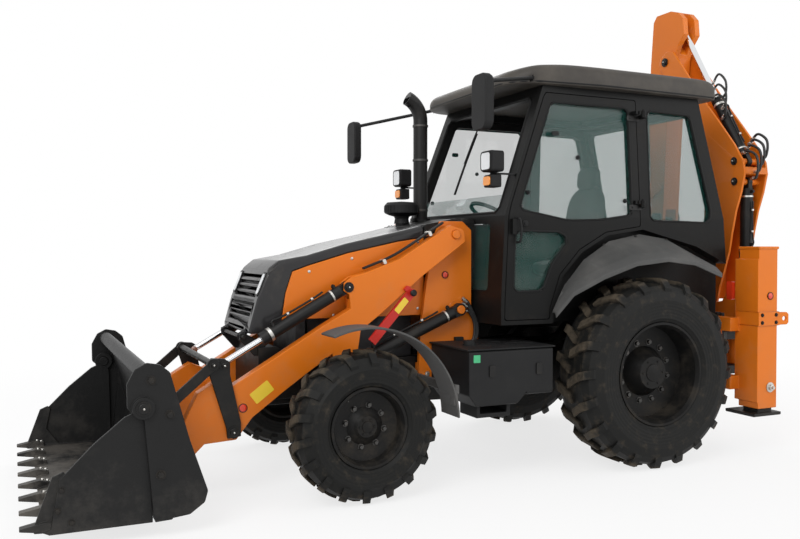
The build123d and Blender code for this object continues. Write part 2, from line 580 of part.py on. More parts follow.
# Loader bucket: the rear section with its ears and lobes, and the clam with the teeth
clam_half_width = bucket_half_width - bucket_plate - clear
with BuildPart() as loader_bucket:
    slab(fore(bucket_half_width - bucket_plate), [(3640, 92), (3545, 96), (3512, 170), (3512, 430), (3560, 650),
                                                  (3655, 930), (3680, 920), (3588, 645), (3540, 430), (3540, 185),
                                                  (3565, 122), (3640, 116)], 2 * (bucket_half_width - bucket_plate))
    slab(fore(bucket_half_width), [(3346, 245), (3447, 544), (3557, 940), (3610, 985), (3685, 999), (3750, 965),
                                   (3792, 885), (3790, 745), (3700, 690), (3648, 100), (3449, 120), (3364, 180)],
         bucket_plate, corner=30)
    disc(fore(bucket_half_width), clam_pivot, 62, -22)
    disc(fore(bucket_half_width), clam_pivot, 34, bucket_plate + clear + 30)
    for outer in (arm_inner_y - clear, link_face + clear + 24):
        slab(fore(outer), [(bucket_pivot[0] - 58, bucket_pivot[1] - 30), (bucket_pivot[0] - 58, bucket_pivot[1] + 40),
                           (bucket_upper_pin[0] - 50, bucket_upper_pin[1] - 20),
                           (bucket_upper_pin[0] - 30, bucket_upper_pin[1] + 45),
                           (bucket_upper_pin[0] + 40, bucket_upper_pin[1] + 50), (3600, 760), (3560, 650),
                           (3520, 430), (3520, 170), (3548, 94), (3500, 94), (3420, 200)], 24)
    slab(fore(arm_outer_y + clear + 24), [(bucket_pivot[0] - 58, bucket_pivot[1] - 30),
                                          (bucket_pivot[0] - 58, bucket_pivot[1] + 40),
                                          (bucket_pivot[0], bucket_pivot[1] + 80), (3520, 430), (3520, 170),
                                          (3548, 94), (3500, 94), (3420, 200)], 24)
    disc(fore(arm_outer_y + clear + 10), bucket_pivot, 32, arm_width + 2 * clear + 20)
    mirror(about=Plane.XZ)
    disc(fore(0), (3685, 930), 46, bucket_half_width - 5, both=True)
loader_bucket.part.label = "loader_bucket"
export_step(loader_bucket.part, "parts/loader_bucket.step")

tooth_count = 8
cutter_plate = 16.0
tooth_tip = (4341.0, 142.0)
with BuildPart() as loader_clam:
    slab(fore(clam_half_width), [(3652, 92), (4192, 92), (4232, 112), (4192, 124), (3652, 116)],
         2 * clam_half_width)
    for y in (clam_half_width, -clam_half_width + bucket_plate):
        slab(fore(y), [(3654, 92), (4192, 92), (4140, 386), (3965, 564), (3800, 700), (3762, 716), (3670, 690),
                       (3664, 640)], bucket_plate, corner=16)
    for y in (clam_half_width - bucket_plate + 2, -clam_half_width + bucket_plate + cutter_plate - 2):
        slab(fore(y), [(4020, 94), (4268, 104), (4274, 128), (4176, 400), (4120, 424), (4100, 400), (4130, 250)],
             cutter_plate)
    disc(fore(clam_half_width), clam_pivot, 66, 2 * clam_half_width)
    disc(fore(clam_half_width - bucket_plate), clam_pivot, 67, 2 * (clam_half_width - bucket_plate),
         mode=Mode.SUBTRACT)
    disc(fore(0), clam_pivot, 34 + fit, bucket_half_width, both=True, mode=Mode.SUBTRACT)
    for index in range(tooth_count):
        y = (index - (tooth_count - 1) / 2) * (2 * clam_half_width - 70) / (tooth_count - 1)
        slab(fore(y), [(4150, 92), (4150, 148), (4215, 165), tooth_tip, (tooth_tip[0], tooth_tip[1] - 14),
                       (4215, 108)], 32, both=True)
loader_clam.part.label = "loader_clam"
export_step(loader_clam.part, "parts/loader_clam.step")

# Cab: a hollow shell of walls, split into frame, doors, glass and roof
cab_base_z = cab_floor_z
cab_tub_half_width = cab_half_width - 110.0
cab_front_x = 1152.0
cab_outline = [(cab_front_x + 30, cab_base_z), (cab_front_x + 30, 1276), (cab_front_x, cab_waist_z),
               (800, cab_top_z), (-690, cab_top_z), (-930, cab_waist_z), (-960, 1520), (-640, 1660),
               (-100, 1790), (240, 1742), (480, 1612), (650, 1435), (735, 1200), (735, cab_base_z)]
tub_outline = [(cab_front_x + 30, cab_base_z), (cab_front_x + 30, 1276), (cab_front_x - 34, 1950),
               (-905, 1950), (-960, 1520), (-960, cab_base_z)]


def upper_form(profile_inset, side_inset):
    """The cab above the fenders as a closed form, its outline and its sides moved in."""
    with BuildSketch(side(0)) as outline:
        with BuildLine():
            Polyline(*cab_outline, close=True)
        make_face()
        if profile_inset:
            offset(amount=-profile_inset, kind=Kind.INTERSECTION)
    extrude(outline.sketch, amount=cab_half_width, both=True)
    low = cab_half_width - side_inset
    high = cab_roof_half_width - side_inset
    slab(cross(-1500), [(-low, 900), (-low, cab_waist_z), (-high, cab_top_z), (high, cab_top_z),
                        (low, cab_waist_z), (low, 900)], 3500, mode=Mode.INTERSECT)


def tub_form(inset):
    """The cab's narrow lower part between the rear wheels."""
    with BuildSketch(side(0)) as outline:
        with BuildLine():
            Polyline(*tub_outline, close=True)
        make_face()
        if inset:
            offset(amount=-inset, kind=Kind.INTERSECTION)
    extrude(outline.sketch, amount=cab_tub_half_width - inset, both=True)


def side_skin(outer, inner):
    """The two side walls between two distances in from the outside."""
    with BuildPart() as inside:
        upper_form(0, inner)
    upper_form(0, outer)
    add(inside.part, mode=Mode.SUBTRACT)


def openings(face, outlines, corner, gap):
    """Rounded outlines on a plane, each moved in by a gap."""
    with BuildSketch(face) as holes:
        for points in outlines:
            with BuildLine():
                Polyline(*points, close=True)
            make_face()
        if gap:
            offset(amount=-gap, kind=Kind.INTERSECTION)
        fillet(holes.vertices(), corner)
    return holes.sketch


# Outlines in the side view: the door opening, its two panes and the rear quarter window
door_outline = [(1155, 1120), (1152, 1276), (1122, cab_waist_z), (1100, 1960), (800, 2760), (775, 2795),
                (-55, 2795), (-75, 1812), (-50, 1808), (255, 1764), (500, 1632), (675, 1448), (762, 1205),
                (764, 1120)]
upper_pane = [(1032, 1925), (735, 2725), (20, 2725), (5, 1900), (300, 1860), (600, 1850)]
lower_pane = [(1080, 1330), (1062, 1770), (660, 1765), (600, 1700), (745, 1530), (830, 1330)]
quarter_pane = [(-160, 2720), (-600, 2710), (-800, 1930), (-770, 1850), (-170, 1860)]
# Outlines in the view along the machine: the windscreen, the pane below it and the rear window
pane_low_y = cab_half_width - 110
pane_high_y = cab_half_width - 145
low_pane_y = cab_half_width - 200
windscreen = [(-pane_low_y, 1905), (-pane_high_y, 2770), (pane_high_y, 2770), (pane_low_y, 1905)]
lower_screen = [(-low_pane_y, 1330), (-low_pane_y, 1830), (low_pane_y, 1830), (low_pane_y, 1330)]
rear_screen = [(-pane_low_y, 1850), (-pane_high_y, 2730), (pane_high_y, 2730), (pane_low_y, 1850)]
pane_depth = 27.0
pane_thickness = 6.0
hinge_line = (-72.0, cab_half_width + 26.0)
hinge_heights = (1960.0, 2650.0)
hinge_height = 26.0

with BuildPart() as cab_inside:
    upper_form(cab_wall, cab_wall)
    tub_form(cab_wall)
with BuildPart() as side_walls:
    side_skin(0, cab_wall)

with BuildPart() as cab_frame:
    upper_form(0, 0)
    tub_form(0)
    add(cab_inside.part, mode=Mode.SUBTRACT)
    with BuildPart(mode=Mode.PRIVATE) as door_holes:
        add(side_walls.part)
        extrude(openings(side(0), [door_outline], 20, 0), amount=cab_half_width, both=True, mode=Mode.INTERSECT)
    add(door_holes.part, mode=Mode.SUBTRACT)
    extrude(openings(side(0), [quarter_pane], 32, 0), amount=cab_half_width, both=True, mode=Mode.SUBTRACT)
    extrude(openings(cross(0), [windscreen, lower_screen], 40, 0), amount=1400, mode=Mode.SUBTRACT)
    extrude(openings(cross(0), [rear_screen], 40, 0), amount=-1400, mode=Mode.SUBTRACT)
    block(flat(cab_top_z - cab_wall - 1), (55, 0), (1250, 2 * cab_half_width - 360), cab_wall + 2, mode=Mode.SUBTRACT)
    for z in hinge_heights:
        block(flat(z), (hinge_line[0] - 20, cab_half_width - 25), (36, 100), hinge_height)
        disc(flat(z), hinge_line, 18, hinge_height)
        disc(flat(z), hinge_line, 9, 2 * hinge_height + 10)
    mirror(about=Plane.XZ)
    block(flat(rail_rear_top_z + fit), (-655, 0), (440, 2 * rail_outer_y), cab_base_z - rail_rear_top_z)
    block(flat(gearbox_top_z + fit), (1050, 0), (110, 240), cab_base_z - gearbox_top_z)
cab_frame.part.label = "cab_frame"
export_step(cab_frame.part, "parts/cab_frame.step")

with BuildPart() as door_frame:
    add(side_walls.part)
    extrude(openings(side(0), [door_outline], 20, door_gap), amount=-cab_half_width, mode=Mode.INTERSECT)
    extrude(openings(side(0), [upper_pane, lower_pane], 32, 0), amount=-cab_half_width, mode=Mode.SUBTRACT)
    for z in hinge_heights:
        eye_z = z + hinge_height + fit
        block(flat(eye_z), (-26, cab_half_width - 20), (34, 76), hinge_height)
        block(flat(eye_z), (-52, cab_half_width + 18), (36, 18), hinge_height)
        disc(flat(eye_z), hinge_line, 18, hinge_height)
        disc(flat(eye_z), hinge_line, 9 + fit, hinge_height, mode=Mode.SUBTRACT)
    block(side(cab_half_width - 2), (1085, 1800), (34, 110), -30)
with BuildPart() as door_panes:
    side_skin(pane_depth, pane_depth + pane_thickness)
    extrude(openings(side(0), [upper_pane, lower_pane], 32, fit), amount=-cab_half_width, mode=Mode.INTERSECT)

for name, piece in (("door_frame", door_frame), ("door_glass", door_panes)):
    for hand, sign in (("left", 1), ("right", -1)):
        door = piece.part if sign > 0 else piece.part.mirror(Plane.XZ)
        door.label = f"{name}_{hand}"
        export_step(door, f"parts/{name}_{hand}.step")

with BuildPart() as quarter_glass:
    side_skin(pane_depth, pane_depth + pane_thickness)
    extrude(openings(side(0), [quarter_pane], 32, fit), amount=cab_half_width, both=True, mode=Mode.INTERSECT)


def end_skin():
    """The thin skin of the cab's front and rear walls, at the depth of the panes."""
    with BuildPart() as inside:
        upper_form(pane_depth + pane_thickness, 0)
    upper_form(pane_depth, 0)
    add(inside.part, mode=Mode.SUBTRACT)


with BuildPart() as windscreen_glass:
    end_skin()
    extrude(openings(cross(0), [windscreen, lower_screen], 40, fit), amount=1400, mode=Mode.INTERSECT)
    block(side(0), (500, 2000), (1130, 3000), 1000, both=True, mode=Mode.SUBTRACT)

with BuildPart() as rear_glass:
    end_skin()
    extrude(openings(cross(0), [rear_screen], 40, fit), amount=-1400, mode=Mode.INTERSECT)
    block(side(0), (-200, 2000), (800, 3000), 1000, both=True, mode=Mode.SUBTRACT)

with BuildPart() as cab_glass:
    add(quarter_glass.part)
    add(windscreen_glass.part)
    add(rear_glass.part)
cab_glass.part.label = "cab_glass"
export_step(cab_glass.part, "parts/cab_glass.step")

# Roof: a thick moulded cap with rounded corners, lower at the front
roof_front_x = 1060.0
roof_rear_x = -870.0
roof_half_width = cab_half_width + 50.0
roof_bottom_z = cab_top_z + fit
with BuildPart() as cab_roof:
    with BuildSketch(flat(roof_bottom_z)) as roof_plan:
        with BuildLine():
            Polyline((roof_rear_x, -roof_half_width + 40), (roof_rear_x, roof_half_width - 40),
                     (300, roof_half_width), (roof_front_x - 140, roof_half_width - 60),
                     (roof_front_x, roof_half_width - 220), (roof_front_x, -roof_half_width + 220),
                     (roof_front_x - 140, -roof_half_width + 60), (300, -roof_half_width), close=True)
        make_face()
        fillet(roof_plan.vertices(), 90)
    extrude(roof_plan.sketch, amount=220)
    slab(side(0), [(roof_rear_x, roof_bottom_z), (roof_rear_x, roof_bottom_z + 110), (-700, roof_bottom_z + 165),
                   (-200, roof_bottom_z + 190), (420, roof_bottom_z + 180), (900, roof_bottom_z + 110),
                   (roof_front_x, roof_bottom_z + 70), (roof_front_x, roof_bottom_z)], 1000, both=True,
         mode=Mode.INTERSECT)
    crown = [(roof_half_width + 50, 60), (roof_half_width - 150, 150), (roof_half_width - 400, 200)]
    slab(cross(-1500), [(-roof_half_width - 50, roof_bottom_z - 40), *[(-y, roof_bottom_z + z) for y, z in crown],
                        *[(y, roof_bottom_z + z) for y, z in reversed(crown)],
                        (roof_half_width + 50, roof_bottom_z - 40)], 3500, mode=Mode.INTERSECT)
cab_roof.part.label = "cab_roof"
export_step(cab_roof.part, "parts/cab_roof.step")

# Inside the cab: the seat, the steering column and the levers for the arm
with BuildPart() as operator_seat:
    block(flat(cab_floor_z + cab_wall), (40, 0), (420, 420), 260)
    block(flat(cab_floor_z + cab_wall + 260), (40, 0), (500, 480), 130)
    fillet(operator_seat.edges().group_by(Axis.Z)[-1], 35)
    slab(side(0), [(-140, 1540), (-230, 2150), (-130, 2150), (-30, 1540)], 230, both=True)
    slab(side(0), [(-215, 2149), (-235, 2340), (-150, 2340), (-130, 2149)], 130, both=True)
operator_seat.part.label = "operator_seat"
export_step(operator_seat.part, "parts/operator_seat.step")

with BuildPart() as controls:
    slab(side(0), [(900, cab_floor_z + cab_wall), (860, 1750), (960, 1830), (1080, 1830),
                   (1080, cab_floor_z + cab_wall)], 170, both=True)
    wheel_line = Plane(origin=(rear_axle_x + 790, 0, 1905), x_dir=(-0.5, 0, 0.866), z_dir=(0, 1, 0))
    turned(wheel_line, [(-190, 0), (-190, 34), (8, 28), (8, 0)])
    disc(Plane(origin=wheel_line.origin, z_dir=wheel_line.x_dir), (0, 0), 200, 24)
    disc(Plane(origin=wheel_line.origin, z_dir=wheel_line.x_dir), (0, 0), 176, 24, mode=Mode.SUBTRACT)
    for turn in (0, 90):
        spoke = Plane(origin=wheel_line.origin, x_dir=(0, 1, 0), z_dir=wheel_line.x_dir).rotated((0, 0, turn))
        block(spoke, (0, 0), (380, 30), 14)
    for y in (-330, 330):
        block(flat(cab_floor_z + cab_wall), (-520, y), (220, 200), 430)
        disc(flat(cab_floor_z + cab_wall + 429), (-500, y), 12, 330)
        disc(flat(cab_floor_z + cab_wall + 740), (-500, y), 26, 60)
controls.part.label = "cab_controls"
export_step(controls.part, "parts/cab_controls.step")

# Mirrors and work lamps
mirror_x = 1515.0
mirror_y = cab_half_width + 350
with BuildPart() as mirrors:
    with BuildSketch(cross(mirror_x)) as mirror_face:
        with Locations((mirror_y, 2600)):
            RectangleRounded(190, 370, 60)
    extrude(mirror_face.sketch, amount=60)
    with BuildLine() as mirror_arm:
        Line((rear_axle_x + mirror_x + 30, mirror_y - 5, 2740),
             (rear_axle_x + roof_front_x - 210, roof_half_width - 105, roof_bottom_z + 50))
    with BuildSketch(Plane(origin=mirror_arm.line @ 0, z_dir=mirror_arm.line % 0)) as arm_round:
        Circle(14)
    sweep(arm_round.sketch, path=mirror_arm.wires()[0])
    mirror(about=Plane.XZ)
    add(cab_roof.part, mode=Mode.SUBTRACT)

lamp_x = 1236.0
lamp_y = cab_half_width - 32.0
lamp_z = 2207.0
with BuildPart() as work_lamps:
    block(flat(lamp_z - 20), (lamp_x, lamp_y), (110, 150), 150)
    fillet(work_lamps.edges().filter_by(Axis.X), 24)
    block(flat(lamp_z - 130), (lamp_x, lamp_y), (90, 110), 90)
    block(flat(lamp_z - 42), (lamp_x, lamp_y), (30, 30), 24)
    block(flat(lamp_z - 34), (lamp_x - 110, lamp_y - 10), (220, 30), 12)
    mirror(about=Plane.XZ)
    add(cab_frame.part, mode=Mode.SUBTRACT)

with BuildPart() as mirrors_and_lamps:
    add(mirrors.part)
    add(work_lamps.part)
mirrors_and_lamps.part.label = "mirrors_and_lamps"
export_step(mirrors_and_lamps.part, "parts/mirrors_and_lamps.step")

# Fenders
rear_fender_wall = 16.0
# (x, lip z at the outside, z at the cab, reach out from the cab) along the rear wheel, front to back
fender_sections = [(745, 1165, 1180, 56), (640, 1325, 1372, 130), (465, 1450, 1560, 260),
                   (230, 1545, 1700, 330), (-60, 1575, 1755, 335), (-320, 1545, 1720, 335),
                   (-600, 1450, 1600, 320)]
fender_inner_y = cab_half_width + fit


def fender_profile(x, lip, top, width):
    """The fender's section across the machine: a crown, a rounded shoulder and a turned-down lip."""
    outer = cab_half_width + width
    shoulder = min(60, (outer - fender_inner_y) / 2)
    with BuildSketch(cross(x)) as section:
        with BuildLine():
            Polyline((fender_inner_y, top), (outer - shoulder, lip + 0.8 * shoulder), (outer, lip),
                     (outer, lip - 32), (outer - rear_fender_wall, lip - 32),
                     (outer - rear_fender_wall, lip - 10),
                     (outer - shoulder - 4, lip + 0.8 * shoulder - rear_fender_wall),
                     (fender_inner_y, top - rear_fender_wall * 1.3), close=True)
        make_face()
    return section.sketch.face()


with BuildPart() as rear_fenders:
    sections = [fender_profile(*row) for row in fender_sections]
    for front_section, back_section in zip(sections, sections[1:]):
        loft(sections=[front_section, back_section], ruled=True)
    mirror(about=Plane.XZ)
rear_fenders.part.label = "rear_fenders"
export_step(rear_fenders.part, "parts/rear_fenders.step")

front_fender_radius = 645.0
front_fender_wall = 14.0
fender_bracket_z = 700.0
fender_bracket_x = front_shift + tower_front_x + clear
fender_outer_y = front_half_track + 140.0
front_fender_width = 250.0
with BuildPart() as front_fenders:
    with BuildSketch(side(fender_outer_y)) as arc_band:
        with Locations((wheelbase, front_tyre_radius)):
            Circle(front_fender_radius)
            Circle(front_fender_radius - front_fender_wall, mode=Mode.SUBTRACT)
        with BuildLine():
            Polyline((wheelbase, front_tyre_radius), (wheelbase + 330, front_tyre_radius + 800),
                     (wheelbase - 800, front_tyre_radius + 800), (wheelbase - 800, front_tyre_radius + 20),
                     close=True)
        make_face(mode=Mode.INTERSECT)
    extrude(arc_band.sketch, amount=front_fender_width)
    block(cross(fender_bracket_x), ((rail_outer_y + fit + fender_outer_y - 10) / 2, fender_bracket_z),
          (fender_outer_y - 10 - rail_outer_y - fit, 60), 34)
    block(cross(fender_bracket_x), (fender_outer_y - 55, fender_bracket_z - 40), (60, 140), 34)
    mirror(about=Plane.XZ)
front_fenders.part.label = "front_fenders"
export_step(front_fenders.part, "parts/front_fenders.step")

# Tanks with the steps, one on each side between the wheels
tank_front_x = wheelbase - 740.0
tank_rear_x = 880.0
tank_top_z = 945.0
tank_inner_y = rail_outer_y + 90.0
tank_outer_y = 1010.0
with BuildPart() as side_tanks:
    slab(side(tank_outer_y), [(tank_rear_x, 620), (tank_rear_x, tank_top_z), (tank_front_x, tank_top_z),
                              (tank_front_x, 640), (tank_front_x - 60, 560), (tank_front_x - 380, 560),
                              (tank_front_x - 440, 620)],
         tank_outer_y - tank_inner_y)
    fillet(side_tanks.edges().filter_by(Axis.X), 22)
    block(flat(tank_top_z), ((tank_front_x + tank_rear_x) / 2, (tank_outer_y + tank_inner_y) / 2),
          (tank_front_x - tank_rear_x + 30, tank_outer_y - tank_inner_y + 20), 12)
    with BuildSketch(side(tank_outer_y - 40)) as step_loop:
        with Locations((tank_front_x - 215, 519)):
            Rectangle(270, 86)
        with Locations((tank_front_x - 215, 534)):
            Rectangle(210, 56, mode=Mode.SUBTRACT)
    extrude(step_loop.sketch, amount=240)
    block(side(tank_inner_y + 1), (tank_front_x - 210, 760), (120, 80), tank_inner_y - tower_outer_y + 1 - fit)
    mirror(about=Plane.XZ)
side_tanks.part.label = "side_tanks"
export_step(side_tanks.part, "parts/side_tanks.step")

# Rear frame: rails for the carriage, and the boxes that the stabiliser legs slide in
rail_face_x = -1000.0
slide_rail_height = 110.0
upper_rail_z = 1030.0
lower_rail_z = 560.0
leg_box_inner_y = leg_y - leg_box_size / 2
leg_box_bottom_z = 370.0
leg_box_top_z = 1640.0
leg_box_bore = leg_box_size - 2 * leg_box_wall
pad_gap = 0.5
box_plate_width = 235.0
ear_thickness = 24.0
ear_turn = radians(12)  # the lashing ears are set a little outwards
tie_down_radius = 18.0
ear_plane = Plane(origin=(rear_axle_x + leg_x - leg_box_size / 2, leg_y + leg_box_size / 2 + 12, 0),
                  x_dir=(cos(ear_turn), -sin(ear_turn), 0), z_dir=(-sin(ear_turn), -cos(ear_turn), 0))
with BuildPart() as rear_frame:
    for z in (lower_rail_z, upper_rail_z):
        block(cross(rail_face_x), (0, z), (2 * leg_box_inner_y + 20, slide_rail_height), 100)
    for y in (-720, -310, 310, 720):
        block(cross(rail_face_x + 24), (y, (upper_rail_z + lower_rail_z) / 2), (60, upper_rail_z - lower_rail_z), 76)
    block(cross(rail_face_x + 24), (0, (upper_rail_z + lower_rail_z) / 2), (600, upper_rail_z - lower_rail_z), 16)
    block(flat(leg_box_bottom_z), (leg_x, leg_y), (leg_box_size, leg_box_size), leg_box_top_z - leg_box_bottom_z)
    block(flat(1030), (leg_x, leg_y), (leg_box_size + 24, leg_box_size + 24), 110)
    slab(ear_plane, [(20, 1035), (20, 1135), (-78, 1135), (-94, 1119), (-94, 1051), (-78, 1035)], ear_thickness)
    slab(side(leg_y + leg_box_size / 2), [(leg_x + 96, 420), (leg_x + 96, 1560), (leg_x + 110, 1560),
                                          (leg_x + 110, 420)], box_plate_width)
    block(flat(leg_box_bottom_z), (leg_x, leg_y), (leg_box_bore, leg_box_bore), leg_box_top_z - leg_box_bottom_z,
          mode=Mode.SUBTRACT)
    pad_middle = (leg_size / 2 + pad_gap + leg_box_bore / 2) / 2
    pad_depth = leg_box_bore / 2 - leg_size / 2 - pad_gap
    for z in (leg_box_bottom_z + 10, 1500):
        for dx, dy in ((1, 0), (-1, 0), (0, 1), (0, -1)):
            block(flat(z), (leg_x + dx * pad_middle, leg_y + dy * pad_middle),
                  (pad_depth if dx else 60, pad_depth if dy else 60), 60)
    block(flat(leg_box_top_z), (leg_x, leg_y), (leg_box_size + 16, leg_box_size + 16), 20)
    disc(ear_plane, (-56, 1085), tie_down_radius, ear_thickness, mode=Mode.SUBTRACT)
    mirror(about=Plane.XZ)
rear_frame.part.label = "rear_frame"
export_step(rear_frame.part, "parts/rear_frame.step")

foot_top_z = 345.0
for hand, sign in (("left", 1), ("right", -1)):
    with BuildPart() as leg:
        block(flat(foot_top_z - 10), (leg_x, sign * leg_y), (leg_size, leg_size), 1560 - foot_top_z)
        block(flat(foot_top_z - 34), (leg_x + 10, sign * (leg_y - 35)), (290, 300), 26)
        fillet(leg.edges().group_by(Axis.Z)[0].filter_by(Axis.X), 10)
    leg.part.label = f"stabiliser_leg_{hand}"
    export_step(leg.part, f"parts/stabiliser_leg_{hand}.step")

# Carriage and swing tower
carriage_back_x = rail_face_x - clear - 34
lug_radius = 105.0
lug_heights = (560.0, 860.0)
lug_thickness = 70.0
king_radius = 40.0
with BuildPart() as hoe_carriage:
    block(cross(carriage_back_x), (king_y, (upper_rail_z + lower_rail_z) / 2),
          (560, upper_rail_z - lower_rail_z + 160), 34)
    for z, hook in ((upper_rail_z, 1), (lower_rail_z, -1)):
        edge = z + hook * (slide_rail_height / 2 + 0.5)
        block(cross(rail_face_x - clear - 1), (king_y, edge + hook * 15), (540, 30), 41)
    for z in lug_heights:
        with BuildSketch(flat(z)) as lug_plan:
            with BuildLine():
                Polyline((carriage_back_x + 2, king_y - 200), (carriage_back_x + 2, king_y + 200),
                         (hoe_x + 210, king_y + lug_radius), (hoe_x, king_y + lug_radius),
                         (hoe_x, king_y - lug_radius), (hoe_x + 210, king_y - lug_radius), close=True)
            make_face()
            with Locations((hoe_x, king_y)):
                Circle(lug_radius)
        extrude(lug_plan.sketch, amount=lug_thickness)
    disc(flat(lug_heights[0] - 12), (hoe_x, king_y), king_radius, lug_heights[1] - lug_heights[0] + lug_thickness + 24)
hoe_carriage.part.label = "hoe_carriage"
export_step(hoe_carriage.part, "parts/hoe_carriage.step")

tower_low_z = lug_heights[0] + lug_thickness + clear
tower_high_z = lug_heights[1] - clear
tower_top_z = lug_heights[1] + lug_thickness + clear
tower_plate_inner = boom_half_width + clear
tower_plate = 40.0
with BuildPart() as swing_tower:
    disc(flat(tower_low_z), (hoe_x, king_y), 92, tower_high_z - tower_low_z)
    slab(reach(hoe_x), [(0, tower_low_z), (0, tower_high_z), (lug_radius + 14, tower_high_z),
                        (lug_radius + 14, tower_top_z + 10), (250, tower_top_z + 10), (250, 760),
                        (190, tower_low_z)], 90, both=True)
    slab(reach(hoe_x), [(-170, tower_top_z), (-170, tower_top_z + 60), (250, tower_top_z + 60),
                        (250, tower_top_z)], tower_plate_inner + 2, both=True)
    slab(reach(hoe_x), [(-170, tower_top_z), (-190, 1290), (-110, 1310), (-20, 1190), (190, 1150), (250, 1080),
                        (250, tower_top_z)], tower_plate_inner + tower_plate, both=True)
    slab(reach(hoe_x), [(-230, tower_top_z + 45), (-230, 1400), (300, 1400), (300, tower_top_z + 45)],
         tower_plate_inner, both=True, mode=Mode.SUBTRACT)
    disc(reach(hoe_x), boom_foot, 36, tower_plate_inner + tower_plate + 8, both=True)
    disc(flat(tower_low_z - 5), (hoe_x, king_y), king_radius + fit, tower_top_z + 200, mode=Mode.SUBTRACT)
    for turn in (-1, 1):
        disc(reach(hoe_x + turn * (tower_plate_inner - 30)), boom_rod_pin, 42, turn * -34)
swing_tower.part.label = "swing_tower"
export_step(swing_tower.part, "parts/swing_tower.step")

# Boom: two side plates with closing plates between them, a fork at the foot and one at the tip
boom_outline = [(105, 1080), (60, 1300), (-50, 1624), (-78, 1783), (-122, 1976), (-176, 2131), (-213, 2290),
                (-198, 2390), (-95, 2549), (60, 2740), (266, 2985), (660, 3500), (740, 3520), (835, 3460),
                (835, 3370), (690, 3180), (480, 2880), (330, 2640), (262, 2400), (245, 2200), (250, 1800),
                (275, 1080), (235, 1032), (145, 1032)]
boom_lower_gap = [(-300, 900), (-300, 2285), (190, 2285), (205, 2150), (212, 1800), (235, 1300), (238, 1190),
                  (300, 1190), (300, 900)]
boom_upper_gap = [(-300, 2345), (205, 2345), (228, 2410), (298, 2655), (450, 2900), (550, 3040), (560, 2900),
                  (1000, 3200), (1000, 3700), (500, 3700), (-300, 2800)]
with BuildPart() as boom:
    slab(reach(hoe_x), boom_outline, boom_half_width, both=True)
    for gap in (boom_lower_gap, boom_upper_gap):
        slab(reach(hoe_x), gap, boom_half_width - boom_plate, both=True, mode=Mode.SUBTRACT)
    disc(reach(hoe_x), boom_foot, 36 + fit, 200, both=True, mode=Mode.SUBTRACT)
    disc(reach(hoe_x), boom_tip, 34 + fit, 200, both=True, mode=Mode.SUBTRACT)
    for pin_point in (boom_barrel_pin, dipper_barrel_pin):
        disc(reach(hoe_x), pin_point, 28, boom_half_width + 6, both=True)
boom.part.label = "boom"
export_step(boom.part, "parts/boom.step")

dipper_outline = [(560, 3650), (575, 3800), (640, 3870), (740, 3905), (930, 3905), (975, 3850), (1010, 3450),
                  (1030, 2960), (1010, 2500), (985, 1935), (940, 1865), (870, 1865), (830, 1930), (800, 2500),
                  (770, 2960), (690, 3330), (680, 3450), (640, 3560)]
with BuildPart() as dipper:
    slab(reach(hoe_x), dipper_outline, dipper_half_width, both=True)
    slab(reach(hoe_x), [(450, 3440), (450, 3960), (790, 3960), (790, 3740), (776, 3640), (745, 3584), (700, 3544),
                        (640, 3440)], 40, both=True, mode=Mode.SUBTRACT)
    slab(reach(hoe_x), [(760, 1800), (760, 2010), (1100, 2090), (1100, 1800)], 62, both=True, mode=Mode.SUBTRACT)
    for turn in (-1, 1):
        slab(reach(hoe_x + turn * 28), [(1000, 3150), (1060, 3110), (1116, 3090), (1116, 3030), (1060, 3026),
                                        (1000, 3010)], turn * -24)
    disc(reach(hoe_x), bucket_barrel_pin, 20, 40, both=True)
    disc(reach(hoe_x), boom_tip, 34, boom_half_width + 6, both=True)
    disc(reach(hoe_x), rocker_pivot, 26 + fit, 200, both=True, mode=Mode.SUBTRACT)
    disc(reach(hoe_x), hoe_bucket_pin, 30 + fit, 200, both=True, mode=Mode.SUBTRACT)
dipper.part.label = "dipper"
export_step(dipper.part, "parts/dipper.step")

# Backhoe bucket with its rocker and link
hoe_bucket_half_width = 200.0
hoe_bucket_plate = 20.0
hoe_ear_inner = dipper_half_width + clear
hoe_ear = 22.0
hoe_shell = [(845, 1745), (975, 1580), (965, 1420), (860, 1290), (700, 1250), (470, 1325)]
hoe_tooth_count = 4
with BuildPart() as hoe_bucket:
    slab(reach(hoe_x), hoe_shell + [(455, 1355), (600, 1600), (790, 1760)], hoe_bucket_half_width, both=True)
    slab(reach(hoe_x), [(820, 1725), (945, 1570), (940, 1430), (845, 1315), (705, 1275), (400, 1375), (300, 1500),
                        (600, 1900), (700, 1900)], hoe_bucket_half_width - hoe_bucket_plate, both=True,
         mode=Mode.SUBTRACT)
    for turn in (-1, 1):
        slab(reach(hoe_x + turn * hoe_ear_inner),
             [(840, 1990), (940, 1995), (975, 1930), (935, 1790), (905, 1680), (945, 1600), (925, 1560),
              (820, 1690), (790, 1720), (835, 1850)], turn * -hoe_ear)
    disc(reach(hoe_x), hoe_bucket_pin, 30, hoe_ear_inner + hoe_ear + 8, both=True)
    for index in range(hoe_tooth_count):
        x = (index - (hoe_tooth_count - 1) / 2) * (2 * hoe_bucket_half_width - 60) / (hoe_tooth_count - 1)
        slab(reach(hoe_x + x), [(520, 1298), (545, 1330), (450, 1385), (350, 1440), (345, 1430), (430, 1345)], 25,
             both=True)
hoe_bucket.part.label = "hoe_bucket"
export_step(hoe_bucket.part, "parts/hoe_bucket.step")

